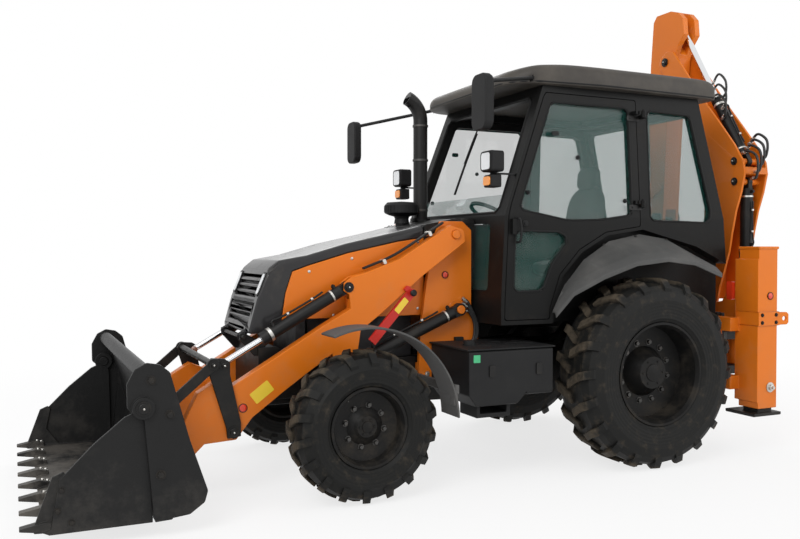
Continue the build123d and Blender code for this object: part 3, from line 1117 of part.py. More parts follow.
rocker_inner = dipper_half_width + clear
rocker_plate = 20.0
link_half_width = 44.0
with BuildPart() as hoe_rocker:
    for turn in (-1, 1):
        rocker_side = strut(reach(hoe_x + turn * rocker_inner), rocker_pivot, rocker_tip)
        block(rocker_side, (span(rocker_pivot, rocker_tip) / 2, 0), (span(rocker_pivot, rocker_tip), 64),
              turn * -rocker_plate)
        disc(rocker_side, (0, 0), 40, turn * -rocker_plate)
        disc(rocker_side, (span(rocker_pivot, rocker_tip), 0), 38, turn * -rocker_plate)
        disc(reach(hoe_x + turn * 28), rocker_tip, 22, turn * -(rocker_inner + rocker_plate - 28))
    disc(reach(hoe_x), rocker_pivot, 26, rocker_inner + rocker_plate, both=True)
hoe_rocker.part.label = "hoe_rocker"
export_step(hoe_rocker.part, "parts/hoe_rocker.step")

with BuildPart() as hoe_link:
    hoe_link_line = strut(reach(hoe_x), rocker_tip, hoe_bucket_link_pin)
    hoe_link_length = span(rocker_tip, hoe_bucket_link_pin)
    block(hoe_link_line, (hoe_link_length / 2, 0), (hoe_link_length, 50), link_half_width, both=True)
    disc(hoe_link_line, (0, 0), 36, link_half_width, both=True)
    disc(hoe_link_line, (hoe_link_length, 0), 34, link_half_width, both=True)
    disc(hoe_link_line, (hoe_link_length, 0), 20, link_half_width + 6, both=True)
    block(hoe_link_line, (20, 0), (160, 120), 28, both=True, mode=Mode.SUBTRACT)
    disc(hoe_link_line, (0, 0), 22 + fit, 100, both=True, mode=Mode.SUBTRACT)
hoe_link.part.label = "hoe_link"
export_step(hoe_link.part, "parts/hoe_link.step")

# Backhoe cylinders
# (name, base pin, rod pin, barrel length, barrel radius, rod radius, base pin radius, rod start, pin reach)
hoe_cylinders = {
    "boom": (boom_barrel_pin, boom_rod_pin, 660.0, 52.0, 28.0, 28.0, 90.0, 85.0),
    "dipper": (dipper_barrel_pin, dipper_rod_pin, 690.0, 48.0, 26.0, 28.0, 650.0, 8.0),
    "bucket": (bucket_barrel_pin, rocker_tip, 600.0, 40.0, 22.0, 20.0, 320.0, 3.0),
}
for name, (base, pin, length, radius, rod_radius, pin_radius, start, pin_reach) in hoe_cylinders.items():
    line = strut(reach(hoe_x), base, pin)
    with BuildPart() as hoe_barrel:
        barrel(line, length, radius, rod_radius, pin_radius, 44)
    hoe_barrel.part.label = f"hoe_{name}_barrel"
    export_step(hoe_barrel.part, f"parts/hoe_{name}_barrel.step")
    with BuildPart() as hoe_rod:
        rod(line, start, span(base, pin), rod_radius, 20, 44, pin_reach)
    hoe_rod.part.label = f"hoe_{name}_rod"
    export_step(hoe_rod.part, f"parts/hoe_{name}_rod.step")
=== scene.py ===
import json
from math import cos, pi, radians, sin

import bmesh
import bpy
import numpy as np
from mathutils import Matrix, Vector


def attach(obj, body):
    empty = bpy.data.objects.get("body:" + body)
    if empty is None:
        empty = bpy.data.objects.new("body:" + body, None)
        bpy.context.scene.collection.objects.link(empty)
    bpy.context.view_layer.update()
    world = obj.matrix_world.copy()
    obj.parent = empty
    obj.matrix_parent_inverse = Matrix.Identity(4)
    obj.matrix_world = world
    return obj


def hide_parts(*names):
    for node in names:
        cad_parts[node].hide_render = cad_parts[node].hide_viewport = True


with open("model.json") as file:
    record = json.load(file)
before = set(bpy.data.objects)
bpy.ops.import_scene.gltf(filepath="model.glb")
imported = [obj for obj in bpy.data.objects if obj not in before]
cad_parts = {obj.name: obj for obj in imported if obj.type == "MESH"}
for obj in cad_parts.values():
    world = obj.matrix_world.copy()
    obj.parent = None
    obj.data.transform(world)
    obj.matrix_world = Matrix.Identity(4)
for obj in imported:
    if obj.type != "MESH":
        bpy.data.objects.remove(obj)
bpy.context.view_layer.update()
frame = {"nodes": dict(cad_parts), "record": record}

# The studio: a pale floor that shows white and keeps the machine's soft shadow, a large soft lamp
# over the left front, two weaker ones, and a low camera at the machine's left front corner.
scene = bpy.context.scene
scene.view_settings.view_transform = "Standard"


class Wire:
    """A shader socket in an expression: each operator on it adds the Math node that works it out."""

    def __init__(self, tree, socket=None):
        self.tree, self.socket = tree, socket

    def node(self, kind, settings=(), out=0, **values):
        """A node of a type: its settings come first, then its sockets' values or links."""
        made = self.tree.nodes.new("ShaderNode" + kind)
        for name, value in dict(settings).items():
            setattr(made, name, value)
        for key, value in values.items():
            at = int(key[1:]) if key[0] == "i" and key[1:].isdigit() else key.replace("_", " ")
            if isinstance(value, Wire):
                self.tree.links.new(value.socket, made.inputs[at])
            else:
                made.inputs[at].default_value = value
        return Wire(self.tree, made.outputs[out])

    def maths(self, operation, first, second=0.0):
        return self.node("Math", {"operation": operation}, i0=first, i1=second)

    def __add__(self, other):
        return self.maths("ADD", self, other)

    __radd__ = __add__

    def __sub__(self, other):
        return self.maths("SUBTRACT", self, other)

    def __rsub__(self, other):
        return self.maths("SUBTRACT", other, self)

    def __mul__(self, other):
        return self.maths("MULTIPLY", self, other)

    __rmul__ = __mul__

    def band(self, low, high):
        """0 below low and 1 above high, smooth between."""
        return self.node("MapRange", {"interpolation_type": "SMOOTHSTEP"}, i0=self, i1=low, i2=high)


def mixed(wire, mask, first, second):
    """The first colour where the mask is 0 and the second where it is 1."""
    first, second = (shade if isinstance(shade, Wire) else (*shade, 1.0) for shade in (first, second))
    return wire.node("Mix", {"data_type": "RGBA"}, 2, i0=mask, i6=first, i7=second)


def new_material(name):
    """A material, its shader, and a wire for its place in the machine's own frame."""
    material = bpy.data.materials.new(name)
    material.use_nodes = True
    start = Wire(material.node_tree)
    return material, material.node_tree.nodes["Principled BSDF"], start, start.node("TexCoord", out=3)


def plug(wire, shader, **links):
    """Links wires or sets values on the shader's sockets by name."""
    for key, value in links.items():
        socket = shader.inputs[key.replace("_", " ")]
        if isinstance(value, Wire):
            wire.tree.links.new(value.socket, socket)
        else:
            socket.default_value = (*value, 1.0) if isinstance(value, tuple) else value


def mesh_object(name, points, faces):
    """A mesh object at the origin from an array of points and a list of faces."""
    mesh = bpy.data.meshes.new(name)
    mesh.from_pydata(np.asarray(points, float).reshape(-1, 3).tolist(), [], faces)
    mesh.update()
    made = bpy.data.objects.new(name, mesh)
    scene.collection.objects.link(made)
    return made


half_floor = 60.0
floor_corners = np.array([(-1, -1, 0), (1, -1, 0), (1, 1, 0), (-1, 1, 0)]) * half_floor
floor = mesh_object("floor", floor_corners, [[0, 1, 2, 3]])
floor_material, floor_shader, wire, place = new_material("studio_floor")
plug(wire, floor_shader, Base_Color=(0.88, 0.88, 0.88), Roughness=0.8)


def seen_directly(wire):
    """1 for rays from the camera, a mirror or a pane, and 0 for those that only carry light."""
    total = (wire.node("LightPath", out="Is Camera Ray") + wire.node("LightPath", out="Is Glossy Ray")
             + wire.node("LightPath", out="Is Transmission Ray"))
    return total.maths("MINIMUM", total, 1.0)


# Near the machine part of what shows is the lit floor with its shadow, and far off all of it is white.
white_near = 0.76
glow = wire.node("Emission", Color=(1.0, 1.0, 1.0, 1.0), Strength=1.0)
far = wire.node("VectorMath", {"operation": "LENGTH"}, "Value", i0=place).band(3.5, 8.0)
shown = wire.node("MixShader", i0=seen_directly(wire) * (far * (1 - white_near) + white_near),
                  i1=Wire(wire.tree, floor_shader.outputs[0]), i2=glow)
wire.tree.links.new(shown.socket, wire.tree.nodes["Material Output"].inputs["Surface"])
floor.data.materials.append(floor_material)

sky_light = 0.68
world = bpy.data.worlds.new("studio")
scene.world = world
world.use_nodes = True
sky = Wire(world.node_tree)
backdrop = sky.node("Background", Color=(1.0, 1.0, 1.0, 1.0),
                    Strength=seen_directly(sky) * (1 - sky_light) + sky_light)
world.node_tree.links.new(backdrop.socket, world.node_tree.nodes["World Output"].inputs["Surface"])


def area_lamp(name, place, aim, watts):
    """A square studio lamp six metres wide, turned to a height over the machine's middle."""
    lamp = bpy.data.lights.new(name, "AREA")
    lamp.shape = "SQUARE"
    lamp.size = 6.0
    lamp.energy = watts
    holder = bpy.data.objects.new(name, lamp)
    scene.collection.objects.link(holder)
    holder.location = place
    holder.rotation_euler = (Vector((0, 0, aim)) - Vector(place)).to_track_quat("-Z", "Y").to_euler()


area_lamp("key_lamp", (7.5, 7.0, 8.5), 1.2, 760)
area_lamp("fill_lamp", (-7.0, 8.0, 5.0), 1.4, 250)
area_lamp("back_lamp", (-3.0, -9.0, 8.0), 1.6, 330)

camera_yaw = 0.42889
camera_pitch = -0.02142
camera = bpy.data.objects.new("camera", bpy.data.cameras.new("camera"))
scene.collection.objects.link(camera)
camera.location = (3.0229, 6.0156, 1.6213)
looking = Vector((-sin(camera_yaw) * cos(camera_pitch), -cos(camera_yaw) * cos(camera_pitch),
                  sin(camera_pitch)))
camera.rotation_euler = looking.to_track_quat("-Z", "Y").to_euler()
camera.data.sensor_width = 36.0
camera.data.lens = 38.2
scene.camera = camera

# Painted steel: orange enamel on the plates, satin black on castings and frames. Sprayed over mill
# steel, so it ripples a little; dust lies in clouds, thickest low down, and fine scratches run along.


def noise(wire, place, scale, detail=4.0, roughness=0.55, stretch=None):
    """Clouds between 0 and 1, drawn closer along an axis by its stretch."""
    if stretch:
        place = wire.node("Mapping", Vector=place, Scale=stretch)
    return wire.node("TexNoise", Vector=place, Scale=scale, Detail=detail, Roughness=roughness)


def bump(wire, height, strength, distance):
    """A surface that leans as the height does, over a distance in metres."""
    return wire.node("Bump", Height=height, Strength=strength, Distance=distance)


def part_of(wire, place, axis):
    """How far a place is forward, to the left or up: axis 0, 1 or 2."""
    return wire.node("SeparateXYZ", out=axis, Vector=place)


dry_dust = (0.30, 0.24, 0.17)


def paint(name, colour, worn, roughness, dust_share=0.14, coat=0.0, shine=0.25):
    """Enamel: two shades in broad clouds, dust in finer ones that thickens towards the ground, scratches."""
    material, shader, wire, place = new_material(name)
    low = 1.0 - part_of(wire, place, 2).band(0.1, 1.5)
    dirt = (noise(wire, place, 6.5, 6.0, 0.7) + low * 0.13).band(0.52, 0.86)
    scratches = noise(wire, place, 3.0, 3.0, stretch=(5.0, 5.0, 70.0)).band(0.64, 0.74)
    shade = mixed(wire, noise(wire, place, 1.7, 3.0), colour, worn)
    plug(wire, shader, Base_Color=mixed(wire, dirt * dust_share, shade, dry_dust),
         Roughness=dirt * 0.25 + (scratches * 0.10 + roughness), Coat_Weight=coat, Coat_Roughness=0.12,
         Specular_IOR_Level=shine, Normal=bump(wire, noise(wire, place, 38.0, 2.0), 0.35, 0.0012))
    return material


def finish_nodes(material, *names):
    """Gives CAD nodes their material."""
    for name in names:
        node = frame["nodes"][name]
        node.data.materials.clear()
        node.data.materials.append(material)


def softened(width, *names, segments=2, harden=True):
    """Stands a copy in for each CAD node: corners joined, coplanar faces merged, and every edge that
    turns by more than 28 degrees rounded by a width in millimetres."""
    same_place, same_plane, turning = 0.00002, radians(0.6), radians(28)
    subparts, bodies = frame["record"]["subparts"], frame["record"]["behaviour"]["bodies"]
    for name in names:
        node = frame["nodes"][name]
        form = bmesh.new()
        form.from_mesh(node.data)
        bmesh.ops.remove_doubles(form, verts=form.verts, dist=same_place)
        bmesh.ops.dissolve_limit(form, angle_limit=same_plane, verts=form.verts, edges=form.edges)
        mesh = bpy.data.meshes.new(f"{name}_dressed")
        form.to_mesh(mesh)
        form.free()
        made = bpy.data.objects.new(f"{name}_dressed", mesh)
        scene.collection.objects.link(made)
        mesh.shade_smooth()
        mesh.set_sharp_from_angle(angle=turning)
        mesh.materials.append(node.data.materials[0])
        edge = made.modifiers.new("rounded_edges", "BEVEL")
        edge.width = width / 1000
        edge.segments = segments
        edge.limit_method = "ANGLE"
        edge.angle_limit = turning
        edge.use_clamp_overlap = False
        edge.harden_normals = harden
        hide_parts(name)
        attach(made, next(body for body, nodes in bodies.items() if name in nodes))


orange_enamel = paint("orange_enamel", (0.72, 0.180, 0.010), (0.60, 0.140, 0.008), 0.36, coat=0.10)
black_enamel = paint("black_enamel", (0.006, 0.006, 0.006), (0.011, 0.0105, 0.010), 0.42, dust_share=0.07)
finish_nodes(orange_enamel, "loader_towers", "hood_side_panels", "loader_arms", "swing_tower", "boom",
             "dipper", "hoe_rocker", "hoe_link")
finish_nodes(black_enamel, "cowl", "exhaust_stack", "chassis_frame", "front_axle", "rear_axle",
             "steering_knuckle_left", "steering_knuckle_right", "tilt_links", "tilt_levers", "lift_barrels",
             "tilt_barrels", "hoe_bucket", "hoe_boom_barrel", "hoe_dipper_barrel", "hoe_bucket_barrel",
             "stabiliser_leg_left", "stabiliser_leg_right", "hoe_carriage")
softened(5, "loader_towers", "loader_arms", "swing_tower", "boom", "dipper", "hood_side_panels")
softened(4, "hoe_rocker", "hoe_link", "cowl", "tilt_links", "tilt_levers", "hoe_bucket", "hoe_carriage",
         "stabiliser_leg_left", "stabiliser_leg_right", "front_axle", "chassis_frame")

# Tyres: black rubber, darkest on the walls, with mud dried pale on the lugs' tops and ribs moulded
# round each wall. The lugs are part of the tyre's own form.
rear_axle = np.array([1340.0, 0.0, 0.0])


def spot(x, y, z):
    """A place in metres from millimetres counted from the rear axle and the ground."""
    return (np.array([x, y, z]) - rear_axle) / 1000


def tyre_rubber(name, centre, radius, lug):
    """Rubber: mud by how far out a point is, and on the walls a rib every 24 mm, as a wave of it."""
    material, shader, wire, place = new_material(name)
    arm = wire.node("Mapping", Vector=place, Location=(-centre[0], 0.0, -centre[2]), Scale=(1.0, 0.0, 1.0))
    out = wire.node("VectorMath", {"operation": "LENGTH"}, "Value", i0=arm)
    tread = out.band(radius - lug * 1.4, radius - lug * 0.05)
    mud = (noise(wire, place, 13.0, 6.0, 0.65) + tread * 0.30).band(0.50, 0.95)
    ribs = out.maths("SINE", out * 260.0) * (1.0 - out.band(radius * 0.72, radius * 0.76))
    height = ribs * 0.6 + noise(wire, place, 110.0, 4.0)
    plug(wire, shader, Base_Color=mixed(wire, mud, (0.0065, 0.0065, 0.006), (0.072, 0.057, 0.040)),
         Roughness=mud * 0.2 + 0.6, Specular_IOR_Level=0.2, Normal=bump(wire, height, 0.45, 0.0016))
    return material


for axle, wheel_x, radius, lug in (("front", 2300, 495, 24), ("rear", 0, 712, 34)):
    material = tyre_rubber(f"{axle}_tyre_rubber", spot(wheel_x, 0, radius), radius / 1000, lug / 1000)
    finish_nodes(material, f"tyre_{axle}_left", f"tyre_{axle}_right")

# Rims: pressed steel dishes in satin black, bolted to the hubs. Dark plated nuts stand in a circle,
# a smaller circle of screws holds the hub's cap, and the valve sits near the bead.
rim_black = paint("rim_enamel", (0.006, 0.006, 0.006), (0.012, 0.0115, 0.011), 0.45, dust_share=0.08,
                  shine=0.15)
finish_nodes(rim_black, "rim_front_left", "rim_front_right", "rim_rear_left", "rim_rear_right")


def metal(name, colour, roughness, streak=0.1, rust=0.0):
    """Bare metal with drawn streaks in its roughness, and rust in patches."""
    material, shader, wire, place = new_material(name)
    streaks = noise(wire, place, 6.0, 4.0, stretch=(3.0, 3.0, 40.0))
    brown = noise(wire, place, 30.0, 5.0).band(0.5, 0.7) * rust
    plug(wire, shader, Base_Color=mixed(wire, brown, colour, (0.16, 0.08, 0.04)), Metallic=1.0 - brown,
         Roughness=streaks * streak + (brown * 0.3 + roughness))
    return material


zinc = metal("zinc_plate", (0.56, 0.55, 0.52), 0.34, 0.2, 0.25)
black_plate = metal("blackened_plate", (0.085, 0.083, 0.080), 0.42, 0.2, 0.15)
chrome = metal("hard_chrome", (0.76, 0.77, 0.78), 0.07, 0.05)


def skin(rows, columns, hollow=False):
    """Four-cornered faces between neighbouring rings of points, and one face over each end. Where it is
    hollow, faces join the last ring to the first instead."""
    first = np.arange(rows * columns).reshape(rows, columns)
    beside = np.roll(first, -1, 1)
    walls = np.stack([first, beside, np.roll(beside, -1, 0), np.roll(first, -1, 0)], -1)
    if hollow:
        return walls.reshape(-1, 4).tolist()
    return walls[:-1].reshape(-1, 4).tolist() + [first[0, ::-1].tolist(), first[-1].tolist()]


def turned(profile, origin, axis, sides=32, hollow=False):
    """Rings: origin + along * axis + radius * (cos t * across + sin t * third), t once round. Where the
    form isn't hollow, its first and last rings close in to the axis."""
    closed = 0.1
    if not hollow:
        profile = [(profile[0][0], closed), *profile]
        if profile[-1][1] > closed:
            profile.append((profile[-1][0], closed))
    along, radius = np.array(profile, float).T / 1000
    axis = np.array(axis, float) / np.linalg.norm(axis)
    across = np.cross([1.0, 0.0, 0.0] if abs(axis[2]) > 0.9 else [0.0, 0.0, 1.0], axis)
    across /= np.linalg.norm(across)
    third = np.cross(axis, across)
    turn = np.arange(sides) * 2 * pi / sides
    round_line = np.cos(turn)[:, None] * across + np.sin(turn)[:, None] * third
    rings = np.asarray(origin) + along[:, None, None] * axis + radius[:, None, None] * round_line
    return rings.reshape(-1, 3), skin(len(profile), sides, hollow)


def bolts(places, axis, size, height):
    """A washer turned with twelve sides and a hexagon head turned with six, at each place."""
    washer = [(0, size * 0.72), (2.5, size * 0.72)]
    head = [(2, size / 2), (height * 0.8, size / 2), (height, size * 0.42)]
    return [turned(profile, origin, axis, sides)
            for origin in places for profile, sides in ((washer, 12), (head, 6))]


def piece(name, forms, material, body, mirrored=False, sharp=35.0):
    """One object from closed forms (points, faces); mirrored adds the same forms over y = 0."""
    if mirrored:
        forms = forms + [(points * (1, -1, 1), [face[::-1] for face in faces]) for points, faces in forms]
    starts = np.cumsum([0] + [len(points) for points, faces in forms]).tolist()
    faces = [[start + index for index in face] for start, (points, own) in zip(starts, forms) for face in own]
    made = mesh_object(name, np.vstack([points for points, own in forms]), faces)
    made.data.shade_smooth()
    made.data.set_sharp_from_angle(angle=radians(sharp))
    made.data.materials.append(material)
    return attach(made, body)


def wheel_trim(axle, x, z, track, nut_circle, disc, nut_count, nut_size, cap_circle, cap_face, valve_circle):
    """Nuts and a valve stem on the disc, and on the hub a domed cap with six screws. A place is given by
    a circle's radius, the turn round it, and how far it lies outside half the track."""
    for hand, sign in (("left", 1), ("right", -1)):
        def on(circle, turn, out):
            return spot(x + circle * cos(turn), sign * (track + out), z + circle * sin(turn))

        outward = (0, sign, 0)
        nut_turns = np.arange(nut_count) * 2 * pi / nut_count + 0.2
        nuts = bolts([on(nut_circle, turn, disc) for turn in nut_turns], outward, nut_size, 20)
        cap = bolts([on(cap_circle, turn, cap_face - 1) for turn in np.arange(6) * pi / 3], outward, 14, 7)
        cap.append(turned([(0, cap_circle * 0.72), (8, cap_circle * 0.68), (14, cap_circle * 0.3), (15, 0.1)],
                          on(0, 0, cap_face - 2), outward, 40))
        valve = spot(x + valve_circle * 0.6, sign * (track + disc + 10), z + valve_circle * 0.8)
        nuts.append(turned([(0, 5), (26, 5), (28, 4), (40, 4)], valve, outward, 12))
        piece(f"wheel_nuts_{axle}_{hand}", nuts, black_plate, f"wheel_{axle}_{hand}")
        piece(f"hub_cap_{axle}_{hand}", cap, rim_black, f"wheel_{axle}_{hand}")


wheel_trim("front", 2300, 495, 920, 137.5, 34.3, 8, 30, 50, 80, 218)
wheel_trim("rear", 0, 712, 945, 225, -13.9, 12, 36, 92, 90, 341)

# Hydraulic cylinders: black tubes whose rods are ground and chromed. A bright clamp ring and a black
# gland nut end each tube, and a steel pipe runs along it from a port to a union at the base.
finish_nodes(chrome, "lift_rods", "tilt_rods", "hoe_boom_rod", "hoe_dipper_rod", "hoe_bucket_rod")


def curve_line(points, steps):
    """Through the points: on each stretch the cubic whose end slopes are half the step between neighbours."""
    known = np.vstack([2 * points[0] - points[1], points, 2 * points[-1] - points[-2]])
    t = np.arange(steps)[None, :, None] / steps
    a, b, c, d = (known[i:len(known) - 3 + i, None, :] for i in range(4))
    line = 0.5 * (2 * b + (c - a) * t + (2 * a - 5 * b + 4 * c - d) * t ** 2
                  + (3 * b - a - 3 * c + d) * t ** 3)
    return np.vstack([line.reshape(-1, 3), points[-1:]])


def pipe(points, radius, sides=12, steps=8):
    """A circle carried along the line: point + radius * (cos t * across + sin t * third)."""
    line = curve_line(np.array(points, float), steps)
    ahead = np.gradient(line, axis=0)
    ahead /= np.linalg.norm(ahead, axis=1, keepdims=True)
    across = np.cross(np.eye(3)[np.argmin(np.abs(ahead).max(0))], ahead)
    across /= np.linalg.norm(across, axis=1, keepdims=True)
    third = np.cross(ahead, across)
    turn = (np.arange(sides) * 2 * pi / sides)[None, :, None]
    rings = line[:, None] + radius / 1000 * (np.cos(turn) * across[:, None] + np.sin(turn) * third[:, None])
    return rings.reshape(-1, 3), skin(len(line), sides)


def cylinder_trim(name, base, tip, length, radius, beside, body, mirrored=False):
    """Rings round the tube and a pipe beside it, in the cylinder's own line."""
    ahead = (tip - base) / np.linalg.norm(tip - base)
    beside = np.array(beside, float)
    beside -= ahead * beside.dot(ahead)
    beside /= np.linalg.norm(beside)

    def on(along, out):
        return base + ahead * along / 1000 + beside * out / 1000

    rings = [turned([(0, radius - 1), (0, radius + high), (wide, radius + high), (wide, radius - 1)],
                    on(along, 0), ahead, 40, True)
             for along, high, wide in ((length - 82, 7, 22), (120, 3, 14))]
    ports = [turned([(0, 15), (22, 15), (22, 9), (30, 9)], on(along, radius - 4), beside, 16)
             for along in (length - 115, 85)]
    line = pipe([on(length - 115, radius + 20), on(length - 135, radius + 30), on(length - 190, radius + 20),
                 on(length / 2, radius + 14), on(230, radius + 14), on(170, radius + 18)], 7.5)
    clips = [turned([(0, 12), (16, 12)], on(along, radius + 14), ahead, 12)
             for along in (length * 0.36, length * 0.64)]
    piece(f"{name}_clamp_rings", rings + clips, zinc, body, mirrored)
    piece(f"{name}_pipes", ports + [line], black_enamel, body, mirrored)


arm_middle = 475
cylinder_trim("lift", spot(1345, arm_middle, 1190), spot(2250, arm_middle, 800), 850, 44, (0.2, 0, 1),
              "lift_barrel", True)
cylinder_trim("tilt", spot(2240, arm_middle, 1372), spot(3115, arm_middle, 880), 700, 42, (0.2, 0, 1),
              "tilt_barrel", True)


def hoe(q, z, x=-1460):
    """A place in the stowed digging arm's plane: q millimetres right of its king pin."""
    return spot(x, 430 - q, z)


cylinder_trim("hoe_boom", hoe(-110, 2225), hoe(-105, 1250), 660, 52, (0, 1, 0), "boom_barrel")
cylinder_trim("hoe_dipper", hoe(-105, 2400), hoe(678, 3740), 690, 48, (0, 1, 0.4), "dipper_barrel")
cylinder_trim("hoe_bucket", hoe(1086, 3060), hoe(1130, 2060), 600, 40, (0, -1, 0), "bucket_barrel")

# Pins: hard steel pins hold every joint of the loader, each kept by a bolted flag plate and greased
# through a small nipple. Their ends are black, the nipples bright.
forward, backward, leftward, upward = (1, 0, 0), (-1, 0, 0), (0, 1, 0), (0, 0, 1)


def pins(name, rows, body, mirrored=False):
    """Several pins' chamfered ends, each in a collar and with a grease nipple in its middle, that ride on
    one body: rows of place, axis and radius."""
    caps = [turned([(0, radius + 12), (6, radius + 12), (6, radius), (12, radius), (16, radius - 4)],
                   origin, axis, 28) for origin, axis, radius in rows]
    nipples = [turned([(14, 6), (20, 6), (22, 3), (27, 4), (29, 0.1)], origin, axis, 10)
               for origin, axis, radius in rows]
    piece(f"{name}_pin_caps", caps, black_enamel, body, mirrored)
    piece(f"{name}_grease_nipples", nipples, zinc, body, mirrored)


hoe_front, hoe_back = -1314, -1606
pins("arm", [(spot(2240, 520, 1372), leftward, 24)], "arms", True)
pins("lever", [(spot(3055, 550, 440), leftward, 28), (spot(3115, 550, 880), leftward, 20)], "levers", True)
pins("link", [(spot(3190, 578, 890), leftward, 18)], "levers", True)
pins("bucket", [(spot(3705, 1162, 748), leftward, 30)], "bucket", True)
pins("boom_left", [(hoe(q, z, hoe_front), forward, 22) for q, z in ((-110, 2225), (-105, 2400))], "boom")
pins("boom_right", [(hoe(q, z, hoe_back), backward, 22) for q, z in ((-110, 2225), (-105, 2400))], "boom")
pins("dipper", [(hoe(760, 3420, hoe_front), forward, 28), (hoe(760, 3420, hoe_back), backward, 28)], "dipper")
pins("tower", [(hoe(190, 1110, -1266), forward, 30)], "tower")

# Arms: two flame-cut plates boxed and welded. A red reflector in a black ring sits near each elbow, a
# plain yellow plate on the left arm, and steel pipes in clamps carry the oil along the top edge.


def plate(outline, origin, right, up, depth):
    """An outline at origin + u * right + v * up and the same outline a depth further along right x up."""
    outline = np.array(outline, float)
    turn = outline[:, 0] * np.roll(outline[:, 1], -1) - np.roll(outline[:, 0], -1) * outline[:, 1]
    outline = (outline if turn.sum() > 0 else outline[::-1]) / 1000
    right, up = (np.array(v, float) / np.linalg.norm(v) for v in (right, up))
    flat_points = np.asarray(origin) + outline[:, :1] * right + outline[:, 1:] * up
    return np.vstack([flat_points, flat_points + np.cross(right, up) * depth / 1000]), skin(2, len(outline))


def oblong(width, height, radius):
    """A rectangle with round corners: each corner's centre + radius * (cos t, sin t) over its quarter."""
    t = np.arange(4)[:, None] * pi / 2 + np.linspace(0, pi / 2, 6)[None, :]
    signs = np.array([(1, 1), (-1, 1), (-1, -1), (1, -1)])[:, None, :]
    centres = signs * np.array([width / 2 - radius, height / 2 - radius])
    ring = centres + radius * np.stack([np.cos(t), np.sin(t)], -1)
    return ring.reshape(-1, 2)


def painted_patch(name, colour, roughness=0.35, ridges=0.0):
    """A plain patch of film or lens: faint clouds in its colour, and ridges as a wave across it."""
    material, shader, wire, place = new_material(name)
    wave = wire.node("TexWave", {"bands_direction": "DIAGONAL"}, Vector=place, Scale=60.0)
    darker = tuple(part * 0.82 for part in colour)
    plug(wire, shader, Base_Color=mixed(wire, noise(wire, place, 9.0), colour, darker),
         Roughness=noise(wire, place, 40.0) * 0.1 + roughness, Coat_Weight=0.3 if ridges else 0.0,
         Normal=bump(wire, wave, ridges, 0.001))
    return material


yellow_film = painted_patch("yellow_film", (0.86, 0.60, 0.04))
green_film = painted_patch("green_film", (0.05, 0.42, 0.18))
red_lens = painted_patch("red_lens", (0.72, 0.045, 0.012), 0.12, 0.5)
amber_lens = painted_patch("amber_lens", (0.95, 0.32, 0.03), 0.12, 0.5)
white_lens = painted_patch("white_lens", (0.82, 0.84, 0.86), 0.08, 0.5)


def reflectors(name, origin, radius, body, high=10.0):
    """A black ring and the low red dome of its lens, on each side of the machine."""
    ring = [(0, radius), (high * 0.7, radius), (high * 0.8, radius - 4), (high / 2, radius - 5)]
    lens = [(high * 0.4, radius - 5), (high * 0.7, radius - 7), (high * 0.9, radius * 0.4), (high, 0.1)]
    piece(f"{name}_reflector_rings", [turned(ring, origin, leftward, 36)], black_enamel, body,
          True)
    piece(f"{name}_reflector_lenses", [turned(lens, origin, leftward, 36)], red_lens, body, True)


arm_face = 520
reflectors("arm", spot(2987, arm_face, 589), 30, "arms", 4.0)
piece("arm_blank_plates", [plate(oblong(150, 84, 8), spot(2859, arm_face, 686), (-0.80, 0, 0.60),
                                 (0.60, 0, 0.80), 1.5)], yellow_film, "arms")
edge_line = [(1480, 1832), (1850, 1606), (2110, 1500)]
pipes = [pipe([spot(x + 6 * row, 452 + 34 * row, z) for x, z in edge_line], 8) for row in (0, 1)]
clamps = [plate(oblong(24, 34, 6), spot(x, 503, z - 12), (1, 0, -0.5), (0.5, 0, 1), 66)
          for x, z in ((1600, 1762), (1960, 1560))]
piece("arm_pipes", pipes, black_enamel, "arms", True)
piece("arm_pipe_clamps", clamps, zinc, "arms", True)

# Safety strut: a red channel pinned under the arm for road travel, with a plain yellow patch and a
# black pull knob on its retaining pin.
red_enamel = paint("red_enamel", (0.56, 0.022, 0.014), (0.44, 0.018, 0.012), 0.35, coat=0.2)
finish_nodes(red_enamel, "safety_strut")
strut_side = (spot(2075, 0, 985) - spot(1770, 0, 1325)) / 0.4567
piece("strut_patch", [plate(oblong(120, 46, 6), spot(1850, 548.5, 1236), strut_side, (0.745, 0, 0.668), 1.2)],
      yellow_film, "arms")
knob = turned([(0, 13), (14, 13), (18, 22), (36, 24), (42, 16)], spot(1770, 548, 1325), leftward, 24)
piece("strut_knob", [knob], black_enamel, "arms")

# Towers: welded plates in front of the cab that carry the arms, each with a red reflector, bolt heads
# where the inner frame meets it, and three hoses looped from the valve to the lift tube.
tower_face = 425
reflectors("tower", spot(1440, tower_face, 1447), 27, "chassis")
bolt_rows = ((1345, 720), (1465, 720), (1585, 720), (1345, 860), (1585, 860))
piece("tower_bolts", bolts([spot(x, tower_face, z) for x, z in bolt_rows], leftward, 26, 13), zinc, "chassis",
      True)
piece("tower_clamp_blocks", [plate(oblong(70, 46, 8), spot(1330, tower_face + 26, 960), forward, upward, 26)],
      black_enamel, "chassis", True)


def rubber_hose(name):
    """Woven hose cover: a fine slanting weave in the surface and dust in its clouds."""
    material, shader, wire, place = new_material(name)
    weave = wire.node("TexWave", {"bands_direction": "DIAGONAL"}, Vector=place, Scale=180.0)
    dirt = noise(wire, place, 18.0, 5.0).band(0.5, 0.8)
    plug(wire, shader, Base_Color=mixed(wire, dirt * 0.3, (0.012, 0.012, 0.012), (0.09, 0.08, 0.065)),
         Roughness=dirt * 0.15 + 0.5, Normal=bump(wire, weave, 0.25, 0.0006))
    return material


hose_cover = rubber_hose("hose_cover")


